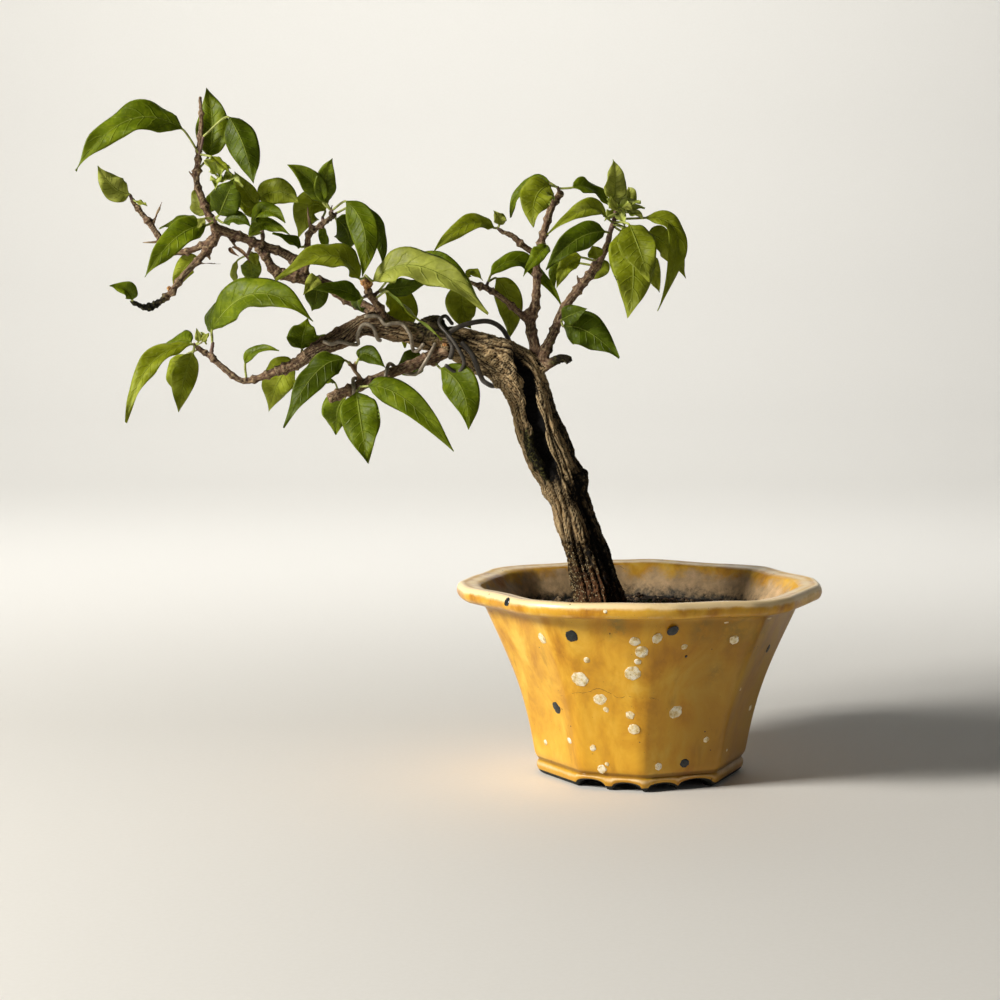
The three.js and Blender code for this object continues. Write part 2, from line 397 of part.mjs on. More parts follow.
// ---- leafy sprays ----
// name: [stem points, stem radius at its foot and tip, leaves]. A lone leaf has no stem:
// its stalk starts where the stem would.
const SPRAYS = {
  spray_top: [[[-191.6, -3, 267.6], [-190.8, -3.6, 272], [-190, -3.8, 279.6]], 0.8, 0.5, [
    [[-191.4, -3.2, 271], [-199.6, -4, 282.4], [-221.4, -12, 285], [-243, -18, 263.6], 16, -90, 30, 8],
    [[-190.2, -3.8, 279], [-178.7, -5, 286.9], [-172, -10, 274.4], [-167.6, -14, 258.4], 15, -90, 8, -22],
    [[-190.8, -3.4, 270.6], [-186.6, -4.4, 270.2], [-182.6, -9, 267], [-176.9, -14, 262], 5, -60, 25, 15],
  ]],
  spray_tip: [[[-189.8, 1.6, 264.4], [-189, 2.6, 267.4], [-188.4, 3, 270.4]], 0.9, 0.6, [
    [[-189.2, 2.4, 267], [-189, 3.6, 271], [-187.4, 6, 285], [-190, 8, 300.6], 15.5, -90, 0, 18],
  ]],
  spray_far_upper: [[[-222.8, 5, 252.4], [-223.3, 4.6, 253.6], [-223.8, 4.2, 254.8]], 0.9, 0.6, [
    [[-222.9, 5, 252.6], [-224, 4, 254.6], [-230.6, 1, 257.8], [-236.3, -2, 266.6], 11.5, -90, 15, 12],
    [[-222.9, 5, 252.6], [-221, 4, 251.4], [-218.4, 3.6, 250.6], [-216, 3, 249.6], 3, -80, 50, 5],
  ]],
  spray_far_lower: [[[-221.2, -7, 207.6], [-221.6, -7.4, 208.6], [-222, -7.8, 209.6]], 0.8, 0.6, [
    [[-221.3, -7, 207.8], [-221.6, -7.6, 209], [-223.6, -10, 213], [-230.4, -12, 214.6], 8, -75, 20, 22],
  ]],
  spray_knuckle: [[[-187.6, -2.4, 241.4], [-187.2, -4, 242.6], [-185.4, -5, 244.4]], 1, 0.7, [
    [[-187.4, -3, 241.8], [-189.6, -5, 240.8], [-201.3, -14, 235], [-213.5, -22, 218.4], 12.5, -90, 20, 6],
    [[-186.4, -4.6, 243.2], [-183.5, -6, 245.4], [-179.6, -11, 252.6], [-175.6, -16, 260.4], 14.5, -90, 5, 6],
    [[-187, -4.2, 242.6], [-190, -6, 243.6], [-191.6, -7, 241.6], [-193.6, -9, 238], 4, -90, 30, 0],
    [[-186, -4.8, 243.6], [-181.4, -6, 242], [-175.2, -10, 243.4], [-169, -14, 239.8], 7.5, -90, 35, 10],
  ]],
  spray_knuckle_back: [[[-188.6, 3.4, 241.6], [-189.4, 4.2, 243.4], [-190, 5, 245]], 0.9, 0.6, [
    [[-189.6, 4.6, 244], [-190.6, 5.4, 246], [-195, 8, 251], [-194.4, 10, 258.4], 7, -115, 10, 12],
    [[-189.8, 4.8, 244.6], [-188.6, 5, 247], [-186.4, 6, 253], [-183, 6, 258.6], 7.5, -90, 10, 8],
    [[-189.2, 4, 243], [-194.6, 4.6, 243.6], [-203, 8, 243], [-212, 11, 239.6], 6.5, -90, 45, 5],
  ]],
  spray_droop: [[[-192.4, 1.4, 229.6], [-192.6, 2.6, 228.6], [-193, 3.6, 227.6]], 0.9, 0.6, [
    [[-192.6, 2.6, 228.6], [-194, 4.4, 226.6], [-201.2, 9, 222], [-205.8, 12, 212], 9, -90, 10, 10],
  ]],
  spray_crown: [[[-166.2, 7.6, 235.4], [-166.6, 8, 240], [-166.2, 7, 246.6], [-165.6, 5, 250]], 1, 0.7, [
    [[-166.4, 7.4, 244], [-168, 3.6, 249.6], [-172.4, -1, 255.6], [-177, -3, 264], 9, -90, 20, 15],
    [[-165.8, 5.6, 249], [-167.4, 3, 252.4], [-158, -2, 255.2], [-149.2, -6, 250.4], 13, -90, 10, 10],
    [[-166.5, 7.8, 241], [-170, 0, 242.4], [-163, -8, 247], [-154.3, -12, 241.8], 9.5, -90, 32, 10],
    [[-166.4, 7.7, 238], [-171.4, 1, 237], [-163.6, -5, 241.2], [-153, -8, 236.6], 7.5, -90, 25, 8],
    [[-166.6, 7.8, 242.6], [-168.6, 4, 245.2], [-172, 0, 249], [-176.4, -3, 252.4], 6.5, -90, 10, 5],
  ]],
  spray_under: [[[-171.4, 4.4, 231.4], [-172, 5, 229.6], [-173, 5.4, 227.8]], 0.9, 0.6, [
    [[-172, 5, 229.8], [-172, 7, 226.8], [-171.6, 11, 221.6], [-173.4, 16, 214.8], 9.5, -90, 5, 8],
    [[-172.8, 5.3, 228.2], [-177.6, 6, 225.4], [-178.8, 6, 219.6], [-177, 7, 214.4], 3.6, -110, 0, 5],
    [[-172, 5, 229.6], [-170.8, 5.4, 229.2], [-170, 6.6, 226.8], [-168.6, 7, 223.4], 5, -90, 5, 5],
  ]],
  spray_thorn: [[[-135.4, -4.6, 245.4], [-135.2, -5, 246.6], [-134.6, -5.4, 247.6]], 0.9, 0.6, [
    [[-135.4, -4.8, 246], [-137, -6, 250.6], [-137.2, -9, 260], [-134, -12, 269.2], 10, -70, 0, 10],
    [[-135.3, -4.9, 246.2], [-138.6, -6, 250.8], [-143.6, -10, 260], [-153, -14, 266.4], 11, -110, 15, 20],
    [[-135, -5.1, 246.8], [-128.4, -6, 251], [-120.2, -13, 238], [-120.9, -21, 218.6], 13, -90, 5, -14],
  ]],
  spray_thorn_back: [[[-134.6, 0.2, 244.8], [-134.2, 1.2, 245.6], [-133.4, 2, 246.4]], 0.9, 0.6, [
    [[-133.6, 1.8, 246.2], [-124.9, 1, 249.4], [-115.4, 4, 239], [-113.8, 7, 223.6], 8.5, -65, 5, -10],
    [[-134.2, 1.2, 245.6], [-133.6, 4, 243.6], [-129.4, 11, 238.6], [-129, 17, 230.4], 12.5, -90, 10, 10],
  ]],
  spray_round: [[[-139, 1.4, 242.6], [-139.4, 2.4, 243.6], [-139.6, 3.4, 244.8]], 0.9, 0.6, [
    [[-139.5, 2.8, 244.2], [-138.6, 4.6, 247.6], [-145.4, 8, 249.2], [-151.4, 13, 235], 15.5, -90, 15, 6],
    [[-139.1, 1.8, 243], [-139.4, 3, 240.6], [-139.2, 3.6, 235.6], [-136.8, 4, 230.2], 5, -115, 5, 5],
  ]],
  spray_cross: [[[-147.6, 1.2, 231.6], [-148.2, 0.2, 231.6], [-148.8, -0.6, 231.8]], 0.8, 0.6, [
    [[-148, 0.6, 231.6], [-149, -1.4, 231.8], [-152.8, -5, 234.6], [-160.4, -9, 237.2], 6.5, -90, 40, 8],
  ]],
  spray_bud: [[[-120.6, -9.4, 217.4], [-120.6, -9.8, 218.4], [-120.4, -10.6, 219.6]], 1, 0.7, [
    [[-120.6, -9.8, 218.4], [-122.8, -13, 218], [-135.2, -22, 227.4], [-157.4, -29, 217.4], 14.5, -90, 42, 14],
    [[-120.4, -10.4, 219.4], [-116.4, -13, 217], [-94.7, -24, 222.4], [-66.9, -34, 203.4], 17.5, -90, 36, 14],
  ]],
  spray_bud_back: [[[-116.4, -6.6, 210.8], [-115.6, -6, 211.6], [-114.8, -5.6, 212.4]], 1, 0.7, [
    [[-114.9, -5.6, 212.2], [-104, -7, 224], [-86.6, -11, 224.6], [-72.1, -16, 210], 8.5, -90, 30, 8],
    [[-115.4, -6, 211.8], [-112, -5, 213.4], [-103.4, -4, 214.4], [-94, -3, 216], 8.5, -90, -25, 5],
    [[-115.4, -5.8, 211.6], [-112.1, -2, 212.4], [-105.6, 8, 205], [-104.3, 9, 187.4], 14.5, -75, 5, 5],
  ]],
  spray_blade: [[[-115.2, -10, 209.4], [-114.4, -11, 210], [-113.8, -11.6, 210.8]], 0.9, 0.6, [
    [[-114, -11.4, 210.6], [-110, -13, 212.2], [-99.1, -15, 201.8], [-86.8, -15.6, 192], 8, 0, 50, 4],
  ]],
  spray_spur_left: [[[-118.8, -11.4, 210], [-119.8, -12.2, 210], [-120.8, -12.8, 210]], 0.9, 0.6, [
    [[-119.8, -12.2, 210], [-122.6, -13, 209.2], [-130.4, -17, 213], [-142.1, -20, 213.6], 9, -90, 30, 10],
    [[-119.4, -11.8, 210], [-121.6, -9, 209.4], [-124, -3, 207], [-122, 4, 203], 8.5, -105, 10, 5],
  ]],
  spray_behind: [[[-143.4, 12.8, 219.6], [-143.4, 13.8, 219.4], [-143.4, 15, 219]], 0.9, 0.6, [
    [[-143.4, 14.4, 219.2], [-143.8, 16.4, 216], [-143.8, 19, 210], [-146.2, 22, 203.4], 11, -80, 5, 8],
  ]],
  spray_young: [[[-140.4, 7.4, 217], [-140.8, 6.6, 217.4], [-141.4, 5.8, 217.6]], 0.8, 0.6, [
    [[-141, 6.4, 217.4], [-142.2, 4.4, 218.4], [-144.2, 2, 216], [-147.8, -2, 211], 7, -90, 0, 10],
  ]],
  spray_outer: [[[-193.4, -4.2, 188.6], [-194.4, -4.8, 189.4], [-195.6, -5, 189.8]], 1, 0.7, [
    [[-194.8, -4.8, 189.4], [-197, -6, 189.4], [-213.6, -15, 180], [-222.2, -24, 156.4], 10, -90, 40, 12],
    [[-194.6, -4.6, 189.2], [-195.6, -7, 185.6], [-199.4, -9, 174], [-201.5, -11, 160.2], 11.5, -80, 0, -14],
    [[-194.2, -4.8, 189.4], [-193.4, -5, 190.6], [-193.4, -5.4, 193], [-194, -6, 196.4], 3.2, -90, 10, 5],
    [[-194, -4.6, 189.2], [-191.6, -5.6, 190.6], [-190.2, -6, 192.4], [-188.4, -7, 194.4], 3, -90, 20, 5],
  ]],
  spray_outer_back: [[[-190.6, -2, 185.6], [-192.2, 0.4, 187], [-193.8, 2.6, 187.8]], 0.9, 0.6, [
    [[-193.6, 2.4, 187.7], [-198, 3.4, 189.8], [-204.4, 8, 190.8], [-212.8, 13, 183.8], 9.5, -90, 45, 8],
    [[-193.2, 1.8, 187.4], [-200, 3, 184.6], [-206, 4, 177.6], [-206.6, 6, 169.6], 7, -110, 0, 5],
  ]],
  spray_great: [[[-186.6, -5.8, 186.4], [-186.6, -6.4, 188], [-186.7, -7, 190.6]], 0.95, 0.7, [
    [[-186.6, -6.4, 188.4], [-186.7, -9, 196], [-165.8, -22, 211.4], [-141.2, -31, 200], 17.5, -90, 30, 10],
    [[-186.6, -6.2, 187.6], [-187.6, -5, 194.6], [-188.6, -4, 201], [-185.6, -4, 207.4], 5, -130, 0, 5],
  ]],
  spray_small: [[[-172.8, -7.4, 175.8], [-173, -7.8, 176.8], [-173, -8, 178]], 0.8, 0.6, [
    [[-173, -7.9, 177.4], [-172.6, -8.6, 181.4], [-167.4, -11, 187], [-157.4, -14, 187], 6, -90, 40, 10],
  ]],
  spray_mid: [[[-149.4, -1.6, 183.8], [-149.2, -0.6, 184.6], [-149, 0.2, 185.4]], 1, 0.7, [
    [[-149.2, -0.6, 184.8], [-151.8, 1, 181], [-159.4, 5, 173.4], [-164.4, 9, 159.4], 15.5, -90, 10, 10],
    [[-149.1, -0.2, 185.2], [-148.8, 1, 187.4], [-148.4, 4, 192.8], [-146.6, 8, 200.4], 14, -90, -5, 8],
    [[-149.1, 0, 185.2], [-145, 2.6, 188.4], [-142, 4, 191.4], [-137.8, 6, 193], 5, -90, 30, 5],
  ]],
  spray_inner: [[[-137, -2.4, 185], [-137.4, -1.4, 184.4], [-138, -0.6, 184]], 0.9, 0.6, [
    [[-137.6, -1, 184.2], [-139, 0.6, 182.6], [-142.4, 3, 178.4], [-148, 7, 172], 8.5, -90, 0, 8],
  ]],
  spray_twig: [[[-127.4, -16, 182.6], [-127.4, -16.8, 183.2], [-127.6, -17.4, 183.6]], 0.8, 0.6, [
    [[-127.5, -17, 183.4], [-128.8, -19, 183], [-141, -27, 177.4], [-153.9, -33, 154.8], 13.5, -90, 30, -10],
  ]],
  spray_twig_right: [[[-124.2, -15.6, 182.8], [-124, -16.6, 183.2], [-123.8, -17.4, 183.6]], 0.8, 0.6, [
    [[-124, -16.6, 183.2], [-122.6, -18.4, 184], [-118.6, -21, 185.6], [-110.8, -26, 179.8], 9, -90, 35, 10],
  ]],
  spray_below: [[[-127.8, -12.4, 167.6], [-128.4, -11.4, 167], [-129, -10.4, 166.6]], 1, 0.7, [
    [[-128.6, -11, 166.8], [-129.6, -9.4, 166.2], [-133, -6, 160], [-133.8, -3, 150], 14, -95, 5, 10],
  ]],
  spray_stub: [[[-133, -14.6, 171.2], [-132.6, -14.6, 172], [-132.8, -14.8, 172.8]], 0.7, 0.5, [
    [[-132.7, -14.7, 172.4], [-133.4, -15, 173.2], [-135.4, -16, 173.8], [-138.4, -17, 172.6], 3.4, -90, 55, 5],
  ]],
  spray_bright: [[[-122.6, -17, 172.4], [-122.4, -18, 172], [-122.2, -19, 171.6]], 1, 0.8, [
    [[-122.4, -18, 172], [-123.6, -21, 169.2], [-121.2, -29, 156], [-118.2, -35, 140], 17, -90, 0, 8],
    [[-122.2, -19, 171.6], [-118.4, -21, 172], [-102.1, -26, 166.2], [-81.7, -31, 144.8], 12.5, -90, 20, 6],
  ]],
  spray_shade: [[[-93.6, -3, 186], [-94, -2.2, 184.6], [-94.6, -1.6, 183.4]], 0.9, 0.6, [
    [[-94.2, -2, 184.2], [-95.4, -1, 182.4], [-101.3, 1, 180.4], [-108.8, 4, 177], 12, -90, 8, 6],
  ]],
  spray_hang: [[[-91.4, -6.6, 180.4], [-90.6, -7.2, 180.2], [-89.8, -7.6, 180]], 0.9, 0.6, [
    [[-90.4, -7.4, 180.2], [-87.6, -10, 179], [-78.2, -17, 170], [-75.6, -24, 153.4], 15.5, -90, 5, -6],
  ]],
  spray_right_tip: [[[-36.6, 1.6, 256.4], [-36.8, 0.8, 257.2], [-37.2, 0, 257.8]], 0.9, 0.6, [
    [[-37, 0.4, 257.6], [-40.4, -1.4, 258], [-46.6, -9, 252.6], [-47.8, -16, 239.8], 15.5, -90, 20, 8],
    [[-36.8, 0.8, 257.2], [-40.6, 1.4, 259.4], [-51.7, 7, 258.2], [-57.4, 12, 244.6], 8, -90, 50, 8],
    [[-36.7, 1.2, 256.8], [-30.3, 1, 257.4], [-22.1, 5, 257], [-13.4, 10, 249.6], 9.5, -90, 42, 8],
  ]],
  spray_right_high: [[[-62.4, 0.6, 239.4], [-63, 0.4, 239.8], [-63.6, 0, 240.2]], 0.8, 0.6, [
    [[-62.9, 0.4, 239.8], [-65, -0.6, 240], [-76.5, -7, 241], [-90.8, -14, 229], 9, -90, 30, 8],
    [[-62.8, 0.4, 239.8], [-62.4, 0, 241.4], [-62.6, -2, 244], [-64.8, -4, 247], 6, -90, 5, 15],
  ]],
  spray_right_mid: [[[-44, 1.6, 232.8], [-43.6, 0.8, 232.6], [-43, 0, 232.2]], 0.8, 0.6, [
    [[-43.4, 0.4, 232.4], [-41.6, -3.4, 231.8], [-45.4, -9, 228.2], [-52.1, -13, 218.8], 7.5, -90, 30, 8],
  ]],
  spray_right_low: [[[-67.4, 0.8, 215.4], [-67.4, 1.6, 216.2], [-67.2, 2.6, 216.8]], 0.8, 0.6, [
    [[-67.4, 1.6, 216.2], [-66, 3, 219.6], [-51.2, 11.6, 224.8], [-35.1, 13, 206], 10, -90, 40, 10],
    [[-67.3, 2.2, 216.6], [-63.6, 5, 218], [-57.6, 9.6, 206.4], [-58.6, 14, 190.6], 12, -90, 5, 6],
  ]],
  spray_right_end: [[[-74.8, -2, 216.4], [-75.4, -1.6, 216.6], [-76, -1, 216.8]], 0.8, 0.6, [
    [[-75.2, -1.8, 216.6], [-76, -3, 218.4], [-73.8, -5, 220.8], [-69.5, -8, 217], 5, -90, 40, 5],
    [[-75.8, -1.2, 216.8], [-76.8, 1, 214.6], [-78.6, 6, 205.6], [-74.8, 11, 196], 14.5, -90, 5, 6],
  ]],
  spray_cluster: [[[-15.6, -6.4, 232.6], [-14.4, -6.8, 238], [-12.8, -7.4, 243.4], [-12, -8, 248]], 1.3, 0.9, [
    [[-13.4, -7.2, 242], [-16.8, -11, 244.6], [-26.4, -18, 247], [-42.1, -24, 236.2], 9.5, -90, 35, 18],
    [[-14.6, -6.8, 237.6], [-17, -9.4, 238], [-29.8, -14, 234], [-42.5, -18, 221.8], 13, -90, 25, 22],
    [[-12.2, -7.9, 247.4], [-13.4, -9, 252], [-12.7, -12, 259], [-13.8, -14, 268.6], 10.5, -80, 10, 15],
    [[-12, -7.8, 246.8], [-8.4, -7, 249.8], [-5.8, -5, 253.4], [-6.6, -2, 257.4], 7, -80, 5, 8],
    [[-12.1, -8, 247], [-11.6, -11, 247.6], [-13.6, -13, 249.8], [-14.6, -15, 252.8], 4, -90, 20, 8],
    [[-12, -7.9, 247], [-9, -9.6, 247.4], [-7.4, -11.6, 248.6], [-4.6, -13, 246], 4, -90, 40, 8],
    [[-12.9, -7.4, 243.2], [1, -8, 244], [14, -13, 235], [5.4, -17, 204], 10, -60, 20, 10],
    [[-13.4, -7.1, 241.4], [-9.4, -14, 239.2], [-5.2, -22, 223], [-7.8, -27, 201.2], 20, -90, 5, 5],
    [[-13.1, -7.3, 242.4], [-6.6, -18, 240.4], [-2.9, -26, 230], [1, -33, 216.6], 16.5, -90, 12, 8],
    [[-13.3, -7.2, 241.8], [2.3, -1, 237], [11, 5, 232], [20.1, 12, 218], 11.5, -90, 20, 8],
    [[-13.6, -7.1, 240.8], [2.4, 0, 229.4], [5, 7, 221.4], [8.4, 13, 211.8], 7.5, -100, 5, 8],
  ]],
  spray_fork: [[[-21.8, -9, 224.6], [-21.8, -9.6, 225.2], [-21.8, -10.2, 226]], 0.9, 0.7, [
    [[-21.8, -10, 225.6], [-20.4, -11, 226.6], [-21.4, -11.6, 229.4], [-22.4, -12, 232], 7.5, -95, 5, 20],
    [[-22, -9.6, 225.2], [-27.2, -11, 227], [-33.2, -14, 223.8], [-37.8, -18, 213.8], 8, -90, 20, 8],
  ]],
  spray_fork_back: [[[-20, -2.6, 223.4], [-19.8, -1.6, 223.4], [-19.6, -0.6, 223.4]], 0.9, 0.6, [
    [[-19.7, -0.8, 223.4], [-17, 1.4, 226], [-18, 5, 222], [-22.2, 10, 217.6], 7.5, -90, 10, 8],
    [[-19.9, -1.6, 223.4], [-34.6, 0, 224.6], [-38.4, 3, 220.6], [-38.2, 6, 214], 5.5, -70, 10, 5],
  ]],
  spray_low_right: [[[-36.4, -6.6, 199.4], [-36, -7.2, 199.6], [-35.4, -8, 199.6]], 0.9, 0.7, [
    [[-35.8, -7.4, 199.6], [-34.4, -9, 197.2], [-23.8, -13, 194.8], [-10.8, -17, 183.8], 16, -90, 10, 6],
    [[-36, -7.2, 199.6], [-35, -10.6, 200.4], [-30.8, -15, 202.6], [-24.8, -19, 205], 9, -90, 10, 8],
  ]],
};

// ---- the plant ----
const paint = (hex, roughness, metalness = 0) =>
  new THREE.MeshStandardMaterial({ color: hex, roughness, metalness });
const plant = new THREE.Group();
function place(name, body, material) {
  const mesh = new THREE.Mesh(geometryOf(largest(body).simplify(TRIM)), material);
  mesh.name = name;
  plant.add(mesh);
}

// the middle lines of the wood, and the nearest point on any of them
const hearts = [...limbs.map((l) => l.curve.getPoints(60)),
  ...SPIKES.map(([from, to]) => [0, 0.2, 0.4, 0.6, 0.8, 0.95].map((u) => v(from).lerp(v(to), u)))];
const nearest = (points, p) =>
  points.reduce((a, b) => (b.distanceTo(p) < a.distanceTo(p) ? b : a)).clone();

const fatWires = Object.values(wires).map(([r, steps, path]) => wire(path, r, steps, GAP));
const wood = union(woodParts(0)).subtract(union(fatWires));
const fatWood = union(woodParts(GAP));
const blocked = union([fatWood, ...fatWires]);

place("pot", potBody, paint(0xe0a838, 0.25));
place("soil", soilBody.subtract(fatWood), paint(0x2c231b, 0.95));
place("wood", wood, paint(0x7a6248, 0.9));
for (const [name, [radius, steps, path]] of Object.entries(wires)) {
  place(name, wire(path, radius, steps), paint(0x6d665c, 0.5, 0.7));
}
for (const [name, [stem, foot, tip, leaves]] of Object.entries(SPRAYS)) {
  // the stem grows out of the heart of the wood, and is cut back to the bark's surface
  const seat = nearest(hearts.flat(), v(stem[0])).toArray();
  const line = stem.length > 3 ? [seat, ...stem] : [seat, stem.at(-1)];
  const shoot = new Limb(line, [foot, tip], 4, line.length - 1);
  const along = shoot.curve.getPoints(40);
  const body = leaves.length > 1
    ? union([shoot.solid(), ...leaves.map(([root, ...rest]) =>
      leaf([nearest(along, v(root)).toArray(), ...rest]))])
    : leaf([seat, ...leaves[0].slice(1)]);
  place(name, body.subtract(blocked), paint(0x5f8a1e, 0.45));
}

const box = new THREE.Box3().setFromObject(plant);
plant.position.set(-(box.min.x + box.max.x) / 2, -(box.min.y + box.max.y) / 2, -box.min.z);

export default plant;
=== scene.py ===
"""Bougainvillea bonsai in a glazed octagonal pot: the finished surfaces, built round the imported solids.

Sizes in the tables are millimetres from the pot's axis, +Z up, with the front towards -Y.
"""
import math
from random import Random

import bmesh
import bpy
import numpy as np
from bpy.props import FloatProperty, FloatVectorProperty, IntProperty, PointerProperty
from mathutils import Matrix, Vector, noise


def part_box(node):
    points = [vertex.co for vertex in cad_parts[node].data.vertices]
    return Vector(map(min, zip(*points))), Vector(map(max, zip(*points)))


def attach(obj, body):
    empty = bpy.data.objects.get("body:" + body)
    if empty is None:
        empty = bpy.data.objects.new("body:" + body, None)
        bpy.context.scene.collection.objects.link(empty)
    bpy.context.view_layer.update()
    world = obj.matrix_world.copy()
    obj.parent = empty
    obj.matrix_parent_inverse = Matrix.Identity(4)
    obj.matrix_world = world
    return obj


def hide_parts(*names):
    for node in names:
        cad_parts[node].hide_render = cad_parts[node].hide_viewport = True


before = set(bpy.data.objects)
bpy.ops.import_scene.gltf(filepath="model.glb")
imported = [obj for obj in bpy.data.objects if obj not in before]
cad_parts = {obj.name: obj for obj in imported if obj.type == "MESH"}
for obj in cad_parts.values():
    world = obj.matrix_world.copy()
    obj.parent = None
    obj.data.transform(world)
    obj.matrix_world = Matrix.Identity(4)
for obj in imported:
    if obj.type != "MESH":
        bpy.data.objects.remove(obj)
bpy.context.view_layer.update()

bl_info = {
    "name": "Bougainvillea Bonsai",
    "version": (1, 0, 0),
    "blender": (4, 5, 0),
    "location": "View3D > Sidebar > Bonsai",
    "description": "Builds a wired bougainvillea bonsai in its glazed pot",
    "category": "Add Mesh",
}

MM = 0.001
POT_LOW, POT_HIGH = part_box("pot")
AXIS = Vector(((POT_LOW.x + POT_HIGH.x) / 2, (POT_LOW.y + POT_HIGH.y) / 2, 0))
FRONT = -math.pi / 2

# ---- pot ----
CORNERS = [-82, -36, -2.2, 42, 89, 136, 183, 230, 278]  # of the hand-made octagon, degrees from the front
CORNER_CUT = 1.025  # how far the sharp octagon would stand past its rounded corners
FOOT_CUT, LIP_CUT = 1.01, 1.052  # the same at the foot and at the lip
ON_AXIS = 1e-4  # nearer to the pot's axis than this, a point has no direction
# outline of the pot, (corner radius, height, rounding), from under the middle out, up and in
POT_PROFILE = [
    (0, 2.6, 0), (37, 2.6, 0.6), (38.2, 0, 0.8), (43.8, 0, 1), (46, 2.2, 1.4), (46.3, 5.2, 0.9),
    (45.2, 6.4, 0.6), (47, 9, 1.2), (49.5, 22.5, 6), (53.8, 39, 8), (60.2, 55, 8), (69.3, 74.9, 1.6),
    (78.5, 78.4, 1.3), (80, 81.5, 1.6), (78.6, 85, 1.5), (69.4, 84, 2), (66.6, 80, 3),
    (60.6, 66, 3), (48, 38, 8), (37, 13, 3), (0, 12, 0),
]
WALL, LIP = 7, 13  # the rows where the wall starts and where the lip is widest
SOIL_PROFILE = [
    (0, 12.3, 0), (36.6, 13.3, 0.5), (47.6, 38.1, 6), (60.2, 66.1, 0.6), (61.8, 69.6, 1), (44, 71, 4),
    (0, 72.6, 0),
]
SOIL_TOP = 4  # the row where the soil's upper face starts
# where the glaze runs thin on an edge, and on the lip's top edge also a painted highlight: (radius, height,
# reach, strength)
WORN_AND_LIT_EDGES = [(79, 84.8, 2.4, 1), (79, 79.2, 1.3, 0.25), (73, 84.5, 3, 0.55), (46.5, 4.8, 1.2, 0.5),
              (44.4, 0.4, 1.2, 0.3)]
# olive stains on the wall: (degrees from the front, height, reach)
STAINS = [(33, 71, 8), (47, 66, 9), (20, 72, 5), (62, 58, 8), (-12, 73, 4), (30, 52, 4), (140, 70, 10),
          (205, 68, 9), (262, 70, 7)]
# arches cut in the foot, front and back: (degrees from the front, width, height)
SCALLOPS = [(-32, 14, 3.8), (-10.5, 13, 3.2), (9.6, 13, 2.8), (30.5, 16, 3.8)]

# dots of slip on the wall: (degrees from the front, height, radius)
WHITE_DOTS = [
    (-43.5, 66.8, 2.5), (-25, 59, 1.4), (-29.5, 50, 3.4), (-22, 40.6, 3.2), (-19.5, 36.9, 1.4),
    (-5.5, 68.6, 2.2), (-3, 64, 2.7), (-4.5, 59.5, 1.4), (-6.5, 54.2, 3.3), (-8, 35, 1.9), (-6.3, 28.6, 2.4),
    (2.4, 70, 2.3), (13.5, 65.5, 1.4), (14, 36, 3.1), (34, 67.3, 2.1), (33, 22, 1.3), (6.5, 11.5, 1.6),
    (-24, 9.6, 1.9), (-28, 18.8, 1.4), (-42.5, 20.6, 1.4), (-68, 16, 1.3), (49, 43, 0.8), (51.5, 15, 0.6),
    (-14, 83, 1), (45, 76, 1), (27, 76, 1), (-21, 12, 0.9),
    (78, 30, 1.4), (92, 56, 2.6), (108, 68, 1.5), (121, 38, 2.9), (133, 60, 1.6), (147, 24, 1.4),
    (156, 50, 2.8), (170, 66, 1.8), (179, 32, 2.4), (194, 58, 3), (207, 40, 1.6), (222, 66, 2),
    (236, 30, 2.2), (249, 54, 2.6), (262, 68, 1.3), (273, 38, 1.8),
]
BLUE_DOTS = [
    (-49, 83, 1.8), (-29, 69.6, 2.6), (-49, 34.5, 2.8), (8, 73, 2.5), (69.5, 58, 2), (22, 12, 2),
    (15, 61, 0.6), (112, 50, 2.2), (152, 70, 2.1), (186, 18, 1.8), (215, 56, 2.3), (256, 40, 2),
]
HAIRLINE = [(-46, 40), (-40, 41.5), (-33, 43.5), (-27, 44.2), (-22, 46.2), (-17, 44.4), (-13, 42.6),
            (-9, 43.6), (-4, 42.8), (1, 43), (6, 41.4), (10, 39.5)]
# a crack in the back of the rim: (degrees from the front, radius, height)
RIM_CRACK = [(183, 67.6, 81.6), (186, 69.4, 83.4), (189, 68.6, 82.6), (192, 69.6, 83.6), (196, 67.4, 81.4)]

